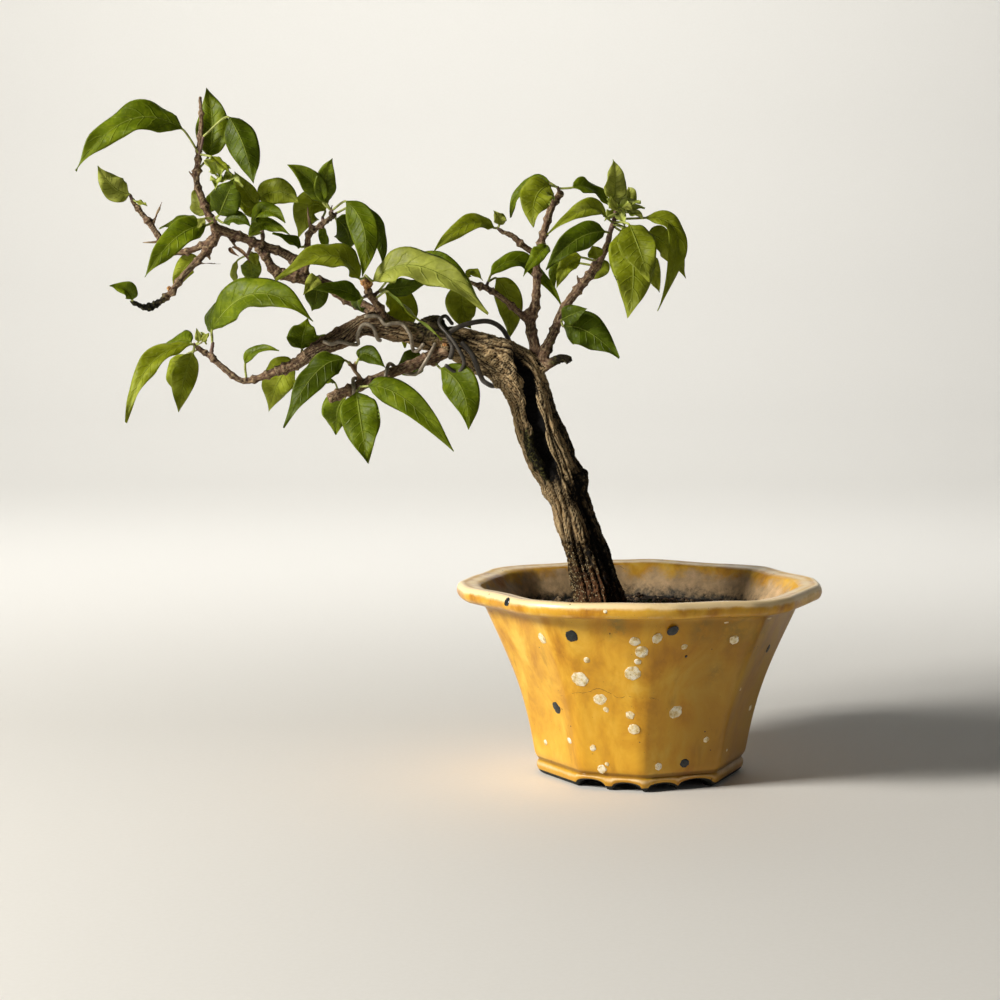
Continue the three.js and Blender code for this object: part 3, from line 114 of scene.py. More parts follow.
# ---- wood ----
# each limb: points along its middle line and the radius at each of them
LIMBS = {
    "trunk": ([[-14, 1, 52], [-16, 1, 66], [-18.5, 0, 78], [-24.4, 0, 98], [-30.6, -1, 117],
               [-36.2, -1, 131], [-44, -1, 149], [-49, 0, 166], [-54.5, 0, 177], [-63, 0, 183],
               [-74.6, -1, 188], [-86, -2, 191.5], [-97, -3, 193.4], [-108, -4, 195.2],
               [-120.5, -5, 197.4], [-131, -6, 190.8], [-141.5, -7, 186.6], [-150, -7, 181.3],
               [-158.6, -7, 178]],
              [13, 12.4, 11, 9.6, 9, 10.3, 10.6, 9.6, 10.8, 10, 8.4, 6.6, 5.3, 4.8, 4.4, 3.4, 3, 2.6,
               2.1]),
    "strand": ([[-108, 0, 197], [-116, -1, 201], [-127, -2, 197], [-139, -3, 190.5], [-150, -5, 183]],
               [3.4, 2.9, 2.7, 2.3, 1.8]),
    "tail": ([[-155, -7, 179], [-158.6, -7, 178], [-167.4, -6, 174.8], [-174.6, -5, 173.6],
              [-184, -4, 180.2], [-189.4, -3, 184.8], [-194.2, -2, 187.6]],
             [2, 1.9, 1.6, 1.4, 1.4, 1.3, 1.1]),
    "lower": ([[-80, -2, 188], [-86.5, -5, 186.6], [-99, -9, 181.1], [-109.3, -12, 177.2],
               [-120, -14, 172.8], [-131, -15, 168.4], [-136.2, -16, 166.3]],
              [3.2, 3, 2.5, 2.3, 2.3, 2.4, 2.3]),
    "spur": ([[-110, -5, 197], [-112.5, -6, 202], [-116, -8, 207.5], [-119, -9, 212],
              [-119.6, -9, 215.6]], [2.3, 1.8, 1.6, 1.7, 1.1]),
    "limb": ([[-108, 0, 196], [-113, 5, 200.5], [-120, 9, 204.5], [-130, 11, 209.6], [-138, 11, 214.8],
              [-149, 8, 218], [-156.4, 6, 219.6], [-161.3, 5, 221.4], [-164.3, 4, 227],
              [-168.6, 3, 231.4]], [3, 2.8, 2.7, 2.7, 2.7, 2.6, 2.5, 2.1, 1.9, 1.6]),
    "bough": ([[-147, 9, 217.4], [-151, 8, 224.4], [-157, 7, 229], [-166, 5, 232.2],
               [-175.8, 3, 236.2], [-185.4, 0, 239.4]], [2.4, 2.3, 2.1, 2, 2, 2.3]),
    "shoot_top": ([[-185.4, 0, 239.4], [-189.4, 1, 246.4], [-191.8, 0, 253], [-193.8, 0, 259.2],
                   [-193.4, -1, 265.4], [-192.8, -1, 272], [-191.8, -1, 279.6], [-191.4, -1, 287.8],
                   [-191.8, -1, 296.4]], [2, 1.7, 1.7, 1.5, 1.4, 1.3, 1.2, 1, 0.8]),
    "drooping": ([[-185.4, 0, 239.4], [-186, 0, 235], [-189, 0, 231.2], [-192.2, -2, 227.2],
                  [-196.6, -4, 222.4], [-201.4, -5, 216.8], [-204.4, -6, 212.6], [-208.3, -6, 208.8],
                  [-213.2, -6, 206], [-215, -6, 205.2], [-220.6, -7, 207.3]],
                 [2, 1.8, 1.7, 1.6, 1.5, 1.6, 1.4, 1.4, 1.3, 1.4, 1]),
    "far_left": ([[-187, 0, 236], [-191, 3, 233], [-201.7, 4, 229.4], [-209, 5, 233.4],
                  [-214.3, 5, 240.4], [-218.8, 5, 246.4], [-222.4, 5, 251]],
                 [1.6, 1.5, 1.5, 1.5, 1.4, 1.3, 1]),
    "rear_twig": ([[-148, 8, 219], [-147, 6, 225], [-146.2, 3, 232], [-145.2, 1, 238],
                   [-141.4, -1, 240], [-137.2, -2, 243], [-133.4, -3, 245.4]],
                  [1.6, 1.5, 1.5, 1.4, 1.3, 1.2, 0.9]),
    "right": ([[-46, 1, 178], [-46.4, 2, 186], [-48.6, 3, 198], [-46.6, 3, 206.5], [-46, 4, 215],
               [-46, 4, 225.6], [-44.6, 4, 231.8], [-42, 4, 241], [-38.8, 4, 250.8],
               [-35.8, 4, 254.6]], [3.1, 2.6, 2.3, 2, 1.8, 1.7, 1.7, 1.7, 1.7, 1.3]),
    "right_low": ([[-47.6, 3, 198.6], [-51, 3, 200.6], [-57, 2, 206], [-63.6, 0, 211.2],
                   [-69.7, -1, 214.4], [-73.7, -2, 215.6]], [1.7, 1.7, 1.4, 1.4, 1.3, 1]),
    "right_high": ([[-45.6, 4, 226.6], [-47, 4, 228.8], [-51.8, 3, 232], [-57, 2, 236.6],
                    [-61.4, 1, 238.2]], [1.6, 1.5, 1.4, 1.4, 1]),
    "front": ([[-44, 0, 178], [-43, -1, 184.6], [-38.9, -3, 194], [-35, -4, 203.6],
               [-29.3, -5, 211.9], [-24, -6, 218.4], [-20.2, -6, 223.6], [-16.2, -6, 231]],
              [3, 2.5, 2.1, 2, 2, 1.9, 1.8, 1.6]),
}

# knuckles: (centre, half sizes)
KNUCKLES = [
    [[-91, -3, 198.4], 6, 4.4, 3.6], [[-185.6, -0.6, 239.2], 2.5, 2.4, 2.6],
    [[-85.6, -8.2, 187], 2.6, 2.6, 2.8], [[-42.4, 1, 134], 5, 6, 8],
    [[-28.2, -1, 128.5], 6.4, 6, 6.6], [[-60, -4, 187], 7, 6, 5],
    [[-20.5, -6, 223.4], 2.5, 2.5, 2.6], [[-204, -6.4, 212], 1.9, 1.9, 2], [[-35.8, 4, 254.6], 1.9, 1.8, 1.8],
]
# dark crusts on stubs and knots: (x, z, inner reach, outer reach, strength)
CRUSTS = [
    (-33, 184.6, 6, 10, 0.9), (-92, 200, 6, 13, 0.75), (-217, 205.6, 6, 14, 1), (-134, 245, 3, 6, 0.6),
]
STOUT = 3  # roots and knots are thicker than this, and get bark as the trunk does
# roots, stubs and thorns: from, to, radius, radius at the tip
SPIKES = [
    [[-17, 0, 76], [2, -2, 63], 8, 4], [[-20, 4, 74], [-34, 12, 62], 7, 3],
    [[-14, 4, 74], [-6, 20, 62], 7, 3],
    [[-43.4, -2, 179], [-36, -4.4, 183.4], 2.2, 2.1], [[-93.6, 0, 195], [-93, -1.4, 200.4], 4.6, 3.2],
    [[-36, -4.4, 183.4], [-32.4, -5.2, 183.2], 2, 1.5], [[-33, -5.2, 183.6], [-31.8, -5.6, 181.6], 1.9, 1.6],
    [[-48.2, 2.4, 201], [-50.6, 1, 204.4], 1.7, 1.5],
    [[-193.6, 0, 259.6], [-197.2, -1, 264.4], 0.8, 0.45], [[-214.3, 5, 240.6], [-209.6, 4, 251.6], 0.8, 0.5],
    [[-209.6, 5, 233.8], [-218.6, 4, 233.6], 0.8, 0.5], [[-194.6, -3, 224.6], [-182.6, -6, 224.2], 0.7, 0.45],
    [[-144.6, 0, 238.6], [-145.9, -2, 250.6], 0.95, 0.5], [[-136, -2.4, 243.6], [-134.9, -3, 250], 0.8, 0.6],
    [[-27.4, -5, 213.6], [-28.8, -6, 219.6], 0.8, 0.5], [[-140.4, -7, 185], [-141.3, -8, 176.6], 0.9, 0.6],
    [[-121, -14, 173.6], [-124.6, -14.4, 178], 1, 0.9], [[-124.6, -14.4, 178], [-127, -15, 181.4], 0.9, 0.6],
    [[-124.6, -14.4, 178], [-124.2, -14, 181.4], 0.9, 0.6], [[-85, -6, 185], [-90.4, -6.4, 181.2], 1.4, 0.8],
    [[-182, 1.6, 238], [-177, 3, 231], 0.9, 0.6], [[-189, 0, 231.4], [-188.6, -1, 226], 0.9, 0.6],
    [[-148.6, -7, 182.4], [-147.4, -8, 187], 1, 0.6],
]

# ---- wires ----
HEAVY_WIRE, FINE_WIRE = 1.1, 0.85
# wires that run free of any one limb: points along each
FREE_WIRES = {
    "wire_trunk": (HEAVY_WIRE, [
        [-83.6, -9.8, 183.2], [-82.6, -11.6, 188.6], [-84.4, -11, 193.8], [-80, -9.4, 197],
        [-72, -6, 199.2], [-66, 0, 199], [-60.5, 7.4, 195], [-57.4, 13.2, 187], [-59, 13.8, 178],
        [-64, 10, 171], [-68.6, 1.6, 172.6], [-70.6, -8, 176], [-74.4, -12.6, 185.6],
        [-79, -12.2, 190.6]]),
    "wire_loop": (FINE_WIRE, [
        [-83, 6, 198], [-86, -1, 201.6], [-88.4, -9.6, 198.6], [-81.4, -15, 190],
        [-77.6, -13.8, 181.6], [-80.6, -11.6, 177.4], [-85.8, -13.4, 180.8]]),
}
# wires wound on a limb: its name, the air under the wire, and (x, degrees from the top to the front)
WOUND_WIRES = {
    "wire_main": ("trunk", 1, [(-95, 118), (-97.4, 165), (-98.6, 172), (-101.6, 92), (-105.6, 58),
                               (-110, 60), (-112.8, 72), (-116, 48), (-120.4, 50)]),
    "wire_outer": ("trunk", 0.6, [(-112.6, 200), (-114.3, 140), (-117.8, 92), (-121.7, 82),
                                  (-125.4, 112), (-127.2, 165), (-129, 130), (-132, 88), (-135, 84),
                                  (-138.2, 50)]),
    "wire_lower": ("lower", 0.8, [(-88.6, 10), (-94.4, 90), (-100.4, 180), (-105, 270), (-108.4, 350),
                                  (-112, 450), (-114, 540), (-119, 630), (-123.6, 710),
                                  (-125.2, 810), (-126.6, 880)]),
}

# ---- small growth ----
BUD_SCALES = [
    ((-119.8, -9.2, 216.4), (1.5, 1.3, 1.9), -10), ((-118.4, -9.8, 215.4), (1, 0.9, 1.6), 30),
    ((-121, -9.6, 215.6), (0.9, 0.9, 1.5), -35), ((-119.9, -10.4, 214.4), (1, 0.8, 1.3), 5),
    ((-85.6, -9.6, 189.2), (1.1, 0.9, 0.9), 20), ((-205.6, -6.6, 213.6), (0.8, 0.7, 0.9), 15),
]
# withered leaves: start, bend, end, width
SCRAPS = [
    ((-179.6, 0, 231.2), (-178.6, -2.6, 229.4), (-175.4, -4, 227.6), 2.6),
    ((-178.6, 0, 231.6), (-173.8, -1.6, 229), (-170.8, -2, 224.6), 2.2),
]

# ---- leaves ----
# tender leaves that are still opening round a bud: (foot, tip, width, azimuth, lift)
TENDER_LEAVES = [
    ((-11.6, -5, 246.6), (-7.6, -8.4, 255.4), 6, -70, 30),
    ((-11.4, -5.4, 246.6), (-1.4, -9.6, 250.6), 6.6, -50, 26),
    ((-11.4, -5, 246.2), (-0.2, -9, 243.4), 6.6, -40, 32),
    ((-11.8, -5.4, 246), (-8.4, -12.4, 240.4), 6, -95, 28),
    ((-12, -4.6, 246.8), (-16.2, -9.4, 252), 5.6, -110, 28),
    ((-11.2, -4, 246.4), (0.6, -4, 248), 5.6, -80, 36),
    ((-12, -5, 246), (-17, -10.6, 242.4), 5, -100, 26),
    ((-11, -4.8, 246.6), (-5.4, -11.4, 247.4), 6.4, -70, 36),
    ((-184.6, -1, 262), (-189.4, -9, 268.6), 6, -100, 28),
    ((-184.4, -1.6, 261.6), (-177.6, -11, 265), 6.8, -75, 28),
    ((-184.2, -2, 261), (-172.4, -10, 257.6), 7.6, -60, 26),
    ((-184.6, -2, 261), (-184, -12.4, 256), 6.4, -90, 28),
    ((-190.6, 0, 189.4), (-192.6, -4, 194.6), 3.4, -95, 36),
]
# each spray: the foot, end and any bends of its stem, the stem's radius at both ends, and its leaves, as
# root, base, crest, tip, width, facing azimuth, facing elevation, lift of the margins in degrees, and
# tone, from 0, deep green, to 1, pale, partly how young the leaf is and partly painted light, paler where lit
SPRAYS = {
    "spray_top": [[[-191.6, -3, 267.6], [-190, -3.8, 279.6]], 0.8, 0.5, [
        [[-191.4, -3.2, 271], [-199.6, -4, 282.4], [-221.4, -12, 285], [-243, -18, 263.6],
         16, -90, 30, 8, 0.45],
        [[-190.2, -3.8, 279], [-178.7, -5, 286.9], [-172, -10, 274.4], [-167.6, -14, 258.4],
         15, -90, 8, -22, 0.3],
        [[-190.8, -3.4, 270.6], [-186.6, -4.4, 270.2], [-182.6, -9, 267], [-176.9, -14, 262],
         5, -60, 25, 15, 0.85],
    ]],
    "spray_tip": [[[-189.8, 1.6, 264.4], [-188.4, 3, 270.4]], 0.9, 0.6, [
        [[-189.2, 2.4, 267], [-189, 3.6, 271], [-187.4, 6, 285], [-190, 8, 300.6], 15.5, -90, 0, 18, 0.4],
    ]],
    "spray_far_upper": [[[-222.8, 5, 252.4], [-223.8, 4.2, 254.8]], 0.9, 0.6, [
        [[-222.9, 5, 252.6], [-224, 4, 254.6], [-230.6, 1, 257.8], [-236.3, -2, 266.6],
         11.5, -90, 15, 12, 0.95],
        [[-222.9, 5, 252.6], [-221, 4, 251.4], [-218.4, 3.6, 250.6], [-216, 3, 249.6], 3, -80, 50, 5, 0.9],
    ]],
    "spray_far_lower": [[[-221.2, -7, 207.6], [-222, -7.8, 209.6]], 0.8, 0.6, [
        [[-221.3, -7, 207.8], [-221.6, -7.6, 209], [-223.6, -10, 213], [-230.4, -12, 214.6],
         8, -75, 20, 22, 0.4],
    ]],
    "spray_knuckle": [[[-187.6, -2.4, 241.4], [-185.4, -5, 244.4]], 1, 0.7, [
        [[-187.4, -3, 241.8], [-189.6, -5, 240.8], [-201.3, -14, 235], [-213.5, -22, 218.4],
         12.5, -90, 20, 6, 0.5],
        [[-186.4, -4.6, 243.2], [-183.5, -6, 245.4], [-179.6, -11, 252.6], [-175.6, -16, 260.4],
         14.5, -90, 5, 6, 0.25],
        [[-187, -4.2, 242.6], [-190, -6, 243.6], [-191.6, -7, 241.6], [-193.6, -9, 238], 4, -90, 30, 0, 0.9],
        [[-186, -4.8, 243.6], [-181.4, -6, 242], [-175.2, -10, 243.4], [-169, -14, 239.8],
         7.5, -90, 35, 10, 0.3],
    ]],
    "spray_knuckle_back": [[[-188.6, 3.4, 241.6], [-190, 5, 245]], 0.9, 0.6, [
        [[-189.6, 4.6, 244], [-190.6, 5.4, 246], [-195, 8, 251], [-194.4, 10, 258.4], 7, -115, 10, 12, 0.9],
        [[-189.8, 4.8, 244.6], [-188.6, 5, 247], [-186.4, 6, 253], [-183, 6, 258.6], 7.5, -90, 10, 8, 0.55],
        [[-189.2, 4, 243], [-194.6, 4.6, 243.6], [-203, 8, 243], [-212, 11, 239.6], 6.5, -90, 45, 5, 0.45],
    ]],
    "spray_droop": [[[-192.4, 1.4, 229.6], [-193, 3.6, 227.6]], 0.9, 0.6, [
        [[-192.6, 2.6, 228.6], [-194, 4.4, 226.6], [-201.2, 9, 222], [-205.8, 12, 212], 9, -90, 10, 10, 0.65],
    ]],
    "spray_crown": [[[-166.2, 7.6, 235.4], [-166.6, 8, 240], [-166.2, 7, 246.6], [-165.6, 5, 250]], 1, 0.7, [
        [[-166.4, 7.4, 244], [-168, 3.6, 249.6], [-172.4, -1, 255.6], [-177, -3, 264], 9, -90, 20, 15, 0.8],
        [[-165.8, 5.6, 249], [-167.4, 3, 252.4], [-158, -2, 255.2], [-149.2, -6, 250.4],
         13, -90, 10, 10, 0.7],
        [[-166.5, 7.8, 241], [-170, 0, 242.4], [-163, -8, 247], [-154.3, -12, 241.8], 9.5, -90, 32, 10, 0.4],
        [[-166.4, 7.7, 238], [-171.4, 1, 237], [-163.6, -5, 241.2], [-153, -8, 236.6], 7.5, -90, 25, 8, 0.5],
        [[-166.6, 7.8, 242.6], [-168.6, 4, 245.2], [-172, 0, 249], [-176.4, -3, 252.4], 6.5, -90, 10, 5, 0.6],
    ]],
    "spray_under": [[[-171.4, 4.4, 231.4], [-173, 5.4, 227.8]], 0.9, 0.6, [
        [[-172, 5, 229.8], [-172, 7, 226.8], [-171.6, 11, 221.6], [-173.4, 16, 214.8], 9.5, -90, 5, 8, 0.4],
        [[-172.8, 5.3, 228.2], [-177.6, 6, 225.4], [-178.8, 6, 219.6], [-177, 7, 214.4],
         3.6, -110, 0, 5, 0.9],
        [[-172, 5, 229.6], [-170.8, 5.4, 229.2], [-170, 6.6, 226.8], [-168.6, 7, 223.4], 5, -90, 5, 5, 0.6],
    ]],
    "spray_thorn": [[[-135.4, -4.6, 245.4], [-134.6, -5.4, 247.6]], 0.9, 0.6, [
        [[-135.4, -4.8, 246], [-137, -6, 250.6], [-137.2, -9, 260], [-134, -12, 269.2], 10, -70, 0, 10, 0.45],
        [[-135.3, -4.9, 246.2], [-138.6, -6, 250.8], [-143.6, -10, 260], [-153, -14, 266.4],
         11, -110, 15, 20, 0.5],
        [[-135, -5.1, 246.8], [-128.4, -6, 251], [-120.2, -13, 238], [-120.9, -21, 218.6],
         13, -90, 5, -14, 0.45],
    ]],
    "spray_thorn_back": [[[-134.6, 0.2, 244.8], [-133.4, 2, 246.4]], 0.9, 0.6, [
        [[-133.6, 1.8, 246.2], [-124.9, 1, 249.4], [-115.4, 4, 239], [-113.8, 7, 223.6],
         8.5, -65, 5, -10, 0.35],
        [[-134.2, 1.2, 245.6], [-133.6, 4, 243.6], [-129.4, 11, 238.6], [-129, 17, 230.4],
         12.5, -90, 10, 10, 0.15],
    ]],
    "spray_round": [[[-139, 1.4, 242.6], [-139.6, 3.4, 244.8]], 0.9, 0.6, [
        [[-139.5, 2.8, 244.2], [-138.6, 4.6, 247.6], [-145.4, 8, 249.2], [-151.4, 13, 235],
         15.5, -90, 15, 6, 0.65],
        [[-139.1, 1.8, 243], [-139.4, 3, 240.6], [-139.2, 3.6, 235.6], [-136.8, 4, 230.2],
         5, -115, 5, 5, 0.5],
    ]],
    "spray_cross": [[[-147.6, 1.2, 231.6], [-148.8, -0.6, 231.8]], 0.8, 0.6, [
        [[-148, 0.6, 231.6], [-149, -1.4, 231.8], [-152.8, -5, 234.6], [-160.4, -9, 237.2],
         6.5, -90, 40, 8, 0.35],
    ]],
    "spray_bud": [[[-120.6, -9.4, 217.4], [-120.4, -10.6, 219.6]], 1, 0.7, [
        [[-120.6, -9.8, 218.4], [-122.8, -13, 218], [-135.2, -22, 227.4], [-157.4, -29, 217.4],
         14.5, -90, 42, 14, 0.65],
        [[-120.4, -10.4, 219.4], [-116.4, -13, 217], [-94.7, -24, 222.4], [-66.9, -34, 203.4],
         17.5, -90, 36, 14, 0.9],
    ]],
    "spray_bud_back": [[[-116.4, -6.6, 210.8], [-114.8, -5.6, 212.4]], 1, 0.7, [
        [[-114.9, -5.6, 212.2], [-104, -7, 224], [-86.6, -11, 224.6], [-72.1, -16, 210],
         8.5, -90, 30, 8, 0.5],
        [[-115.4, -6, 211.8], [-112, -5, 213.4], [-103.4, -4, 214.4], [-94, -3, 216], 8.5, -90, -25, 5, 0.3],
        [[-115.4, -5.8, 211.6], [-112.1, -2, 212.4], [-105.6, 8, 205], [-104.3, 9, 187.4],
         14.5, -75, 5, 5, 0.6],
    ]],
    "spray_blade": [[[-115.2, -10, 209.4], [-113.8, -11.6, 210.8]], 0.9, 0.6, [
        [[-114, -11.4, 210.6], [-110, -13, 212.2], [-99.1, -15, 201.8], [-86.8, -15.6, 192],
         8, 0, 50, 4, 0.8],
    ]],
    "spray_spur_left": [[[-118.8, -11.4, 210], [-120.8, -12.8, 210]], 0.9, 0.6, [
        [[-119.8, -12.2, 210], [-122.6, -13, 209.2], [-130.4, -17, 213], [-142.1, -20, 213.6],
         9, -90, 30, 10, 0.2],
        [[-119.4, -11.8, 210], [-121.6, -9, 209.4], [-124, -3, 207], [-122, 4, 203], 8.5, -105, 10, 5, 0.3],
    ]],
    "spray_behind": [[[-143.4, 12.8, 219.6], [-143.4, 15, 219]], 0.9, 0.6, [
        [[-143.4, 14.4, 219.2], [-143.8, 16.4, 216], [-143.8, 19, 210], [-146.2, 22, 203.4],
         11, -80, 5, 8, 0.3],
    ]],
    "spray_young": [[[-140.4, 7.4, 217], [-141.4, 5.8, 217.6]], 0.8, 0.6, [
        [[-141, 6.4, 217.4], [-142.2, 4.4, 218.4], [-144.2, 2, 216], [-147.8, -2, 211], 7, -90, 0, 10, 0.9],
    ]],
    "spray_outer": [[[-193.4, -4.2, 188.6], [-195.6, -5, 189.8]], 1, 0.7, [
        [[-194.8, -4.8, 189.4], [-197, -6, 189.4], [-213.6, -15, 180], [-222.2, -24, 156.4],
         10, -90, 40, 12, 0.75],
        [[-194.6, -4.6, 189.2], [-195.6, -7, 185.6], [-199.4, -9, 174], [-201.5, -11, 160.2],
         11.5, -80, 0, -14, 0.8],
        [[-194.2, -4.8, 189.4], [-193.4, -5, 190.6], [-193.4, -5.4, 193], [-194, -6, 196.4],
         3.2, -90, 10, 5, 1],
        [[-194, -4.6, 189.2], [-191.6, -5.6, 190.6], [-190.2, -6, 192.4], [-188.4, -7, 194.4],
         3, -90, 20, 5, 1],
    ]],
    "spray_outer_back": [[[-190.6, -2, 185.6], [-193.8, 2.6, 187.8]], 0.9, 0.6, [
        [[-193.6, 2.4, 187.7], [-198, 3.4, 189.8], [-204.4, 8, 190.8], [-212.8, 13, 183.8],
         9.5, -90, 45, 8, 0.5],
        [[-193.2, 1.8, 187.4], [-200, 3, 184.6], [-206, 4, 177.6], [-206.6, 6, 169.6], 7, -110, 0, 5, 0.6],
    ]],
    "spray_great": [[[-186.6, -5.8, 186.4], [-186.7, -7, 190.6]], 0.95, 0.7, [
        [[-186.6, -6.4, 188.4], [-186.7, -9, 196], [-165.8, -22, 211.4], [-141.2, -31, 200],
         17.5, -90, 30, 10, 0.45],
        [[-186.6, -6.2, 187.6], [-187.6, -5, 194.6], [-188.6, -4, 201], [-185.6, -4, 207.4],
         5, -130, 0, 5, 0.2],
    ]],
    "spray_small": [[[-172.8, -7.4, 175.8], [-173, -8, 178]], 0.8, 0.6, [
        [[-173, -7.9, 177.4], [-172.6, -8.6, 181.4], [-167.4, -11, 187], [-157.4, -14, 187],
         6, -90, 40, 10, 0.45],
    ]],
    "spray_mid": [[[-149.4, -1.6, 183.8], [-149, 0.2, 185.4]], 1, 0.7, [
        [[-149.2, -0.6, 184.8], [-151.8, 1, 181], [-159.4, 5, 173.4], [-164.4, 9, 159.4],
         15.5, -90, 10, 10, 0.65],
        [[-149.1, -0.2, 185.2], [-148.8, 1, 187.4], [-148.4, 4, 192.8], [-146.6, 8, 200.4],
         14, -90, -5, 8, 0.5],
        [[-149.1, 0, 185.2], [-145, 2.6, 188.4], [-142, 4, 191.4], [-137.8, 6, 193], 5, -90, 30, 5, 0.5],
    ]],
    "spray_inner": [[[-137, -2.4, 185], [-138, -0.6, 184]], 0.9, 0.6, [
        [[-137.6, -1, 184.2], [-139, 0.6, 182.6], [-142.4, 3, 178.4], [-148, 7, 172], 8.5, -90, 0, 8, 0.5],
    ]],
    "spray_twig": [[[-127.4, -16, 182.6], [-127.6, -17.4, 183.6]], 0.8, 0.6, [
        [[-127.5, -17, 183.4], [-128.8, -19, 183], [-141, -27, 177.4], [-153.9, -33, 154.8],
         13.5, -90, 30, -10, 0.35],
    ]],
    "spray_twig_right": [[[-124.2, -15.6, 182.8], [-123.8, -17.4, 183.6]], 0.8, 0.6, [
        [[-124, -16.6, 183.2], [-122.6, -18.4, 184], [-118.6, -21, 185.6], [-110.8, -26, 179.8],
         9, -90, 35, 10, 0.3],
    ]],
    "spray_below": [[[-127.8, -12.4, 167.6], [-129, -10.4, 166.6]], 1, 0.7, [
        [[-128.6, -11, 166.8], [-129.6, -9.4, 166.2], [-133, -6, 160], [-133.8, -3, 150],
         14, -95, 5, 10, 0.4],
    ]],
    "spray_stub": [[[-133, -14.6, 171.2], [-132.8, -14.8, 172.8]], 0.7, 0.5, [
        [[-132.7, -14.7, 172.4], [-133.4, -15, 173.2], [-135.4, -16, 173.8], [-138.4, -17, 172.6],
         3.4, -90, 55, 5, 0.4],
    ]],
    "spray_bright": [[[-122.6, -17, 172.4], [-122.2, -19, 171.6]], 1, 0.8, [
        [[-122.4, -18, 172], [-123.6, -21, 169.2], [-121.2, -29, 156], [-118.2, -35, 140],
         17, -90, 0, 8, 0.55],
        [[-122.2, -19, 171.6], [-118.4, -21, 172], [-102.1, -26, 166.2], [-81.7, -31, 144.8],
         12.5, -90, 20, 6, 0.45],
    ]],
    "spray_shade": [[[-93.6, -3, 186], [-94.6, -1.6, 183.4]], 0.9, 0.6, [
        [[-94.2, -2, 184.2], [-95.4, -1, 182.4], [-101.3, 1, 180.4], [-108.8, 4, 177], 12, -90, 8, 6, 0.35],
    ]],
    "spray_hang": [[[-91.4, -6.6, 180.4], [-89.8, -7.6, 180]], 0.9, 0.6, [
        [[-90.4, -7.4, 180.2], [-87.6, -10, 179], [-78.2, -17, 170], [-75.6, -24, 153.4],
         15.5, -90, 5, -6, 0.4],
    ]],
    "spray_right_tip": [[[-36.6, 1.6, 256.4], [-37.2, 0, 257.8]], 0.9, 0.6, [
        [[-37, 0.4, 257.6], [-40.4, -1.4, 258], [-46.6, -9, 252.6], [-47.8, -16, 239.8],
         15.5, -90, 20, 8, 0.7],
        [[-36.8, 0.8, 257.2], [-40.6, 1.4, 259.4], [-51.7, 7, 258.2], [-57.4, 12, 244.6], 8, -90, 50, 8, 0.5],
        [[-36.7, 1.2, 256.8], [-30.3, 1, 257.4], [-22.1, 5, 257], [-13.4, 10, 249.6], 9.5, -90, 42, 8, 0.4],
    ]],
    "spray_right_high": [[[-62.4, 0.6, 239.4], [-63.6, 0, 240.2]], 0.8, 0.6, [
        [[-62.9, 0.4, 239.8], [-65, -0.6, 240], [-76.5, -7, 241], [-90.8, -14, 229], 9, -90, 30, 8, 0.85],
        [[-62.8, 0.4, 239.8], [-62.4, 0, 241.4], [-62.6, -2, 244], [-64.8, -4, 247], 6, -90, 5, 15, 0.9],
    ]],
    "spray_right_mid": [[[-44, 1.6, 232.8], [-43, 0, 232.2]], 0.8, 0.6, [
        [[-43.4, 0.4, 232.4], [-41.6, -3.4, 231.8], [-45.4, -9, 228.2], [-52.1, -13, 218.8],
         7.5, -90, 30, 8, 0.4],
    ]],
    "spray_right_low": [[[-67.4, 0.8, 215.4], [-67.2, 2.6, 216.8]], 0.8, 0.6, [
        [[-67.4, 1.6, 216.2], [-66, 3, 219.6], [-51.2, 11.6, 224.8], [-35.1, 13, 206], 10, -90, 40, 10, 0.4],
        [[-67.3, 2.2, 216.6], [-63.6, 5, 218], [-57.6, 9.6, 206.4], [-58.6, 14, 190.6], 12, -90, 5, 6, 0.65],
    ]],
    "spray_right_end": [[[-74.8, -2, 216.4], [-76, -1, 216.8]], 0.8, 0.6, [
        [[-75.2, -1.8, 216.6], [-76, -3, 218.4], [-73.8, -5, 220.8], [-69.5, -8, 217], 5, -90, 40, 5, 0.6],
        [[-75.8, -1.2, 216.8], [-76.8, 1, 214.6], [-78.6, 6, 205.6], [-74.8, 11, 196], 14.5, -90, 5, 6, 0.7],
    ]],
    "spray_cluster": [[[-15.6, -6.4, 232.6], [-14.4, -6.8, 238], [-12.8, -7.4, 243.4], [-12, -8, 248]],
                      1.3, 0.9, [
        [[-13.4, -7.2, 242], [-16.8, -11, 244.6], [-26.4, -18, 247], [-42.1, -24, 236.2],
         9.5, -90, 35, 18, 0.7],
        [[-14.6, -6.8, 237.6], [-17, -9.4, 238], [-29.8, -14, 234], [-42.5, -18, 221.8],
         13, -90, 25, 22, 0.3],
        [[-12.2, -7.9, 247.4], [-13.4, -9, 252], [-12.7, -12, 259], [-13.8, -14, 268.6],
         10.5, -80, 10, 15, 0.9],
        [[-12, -7.8, 246.8], [-8.4, -7, 249.8], [-5.8, -5, 253.4], [-6.6, -2, 257.4], 7, -80, 5, 8, 0.9],
        [[-12.1, -8, 247], [-11.6, -11, 247.6], [-13.6, -13, 249.8], [-14.6, -15, 252.8], 4, -90, 20, 8, 1],
        [[-12, -7.9, 247], [-9, -9.6, 247.4], [-7.4, -11.6, 248.6], [-4.6, -13, 246], 4, -90, 40, 8, 1],
        [[-12.9, -7.4, 243.2], [1, -8, 244], [14, -13, 235], [5.4, -17, 204], 10, -60, 20, 10, 0.6],
        [[-13.4, -7.1, 241.4], [-9.4, -14, 239.2], [-5.2, -22, 223], [-7.8, -27, 201.2], 20, -90, 5, 5, 0.75],
        [[-13.1, -7.3, 242.4], [-6.6, -18, 240.4], [-2.9, -26, 230], [1, -33, 216.6], 16.5, -90, 12, 8, 0.85],
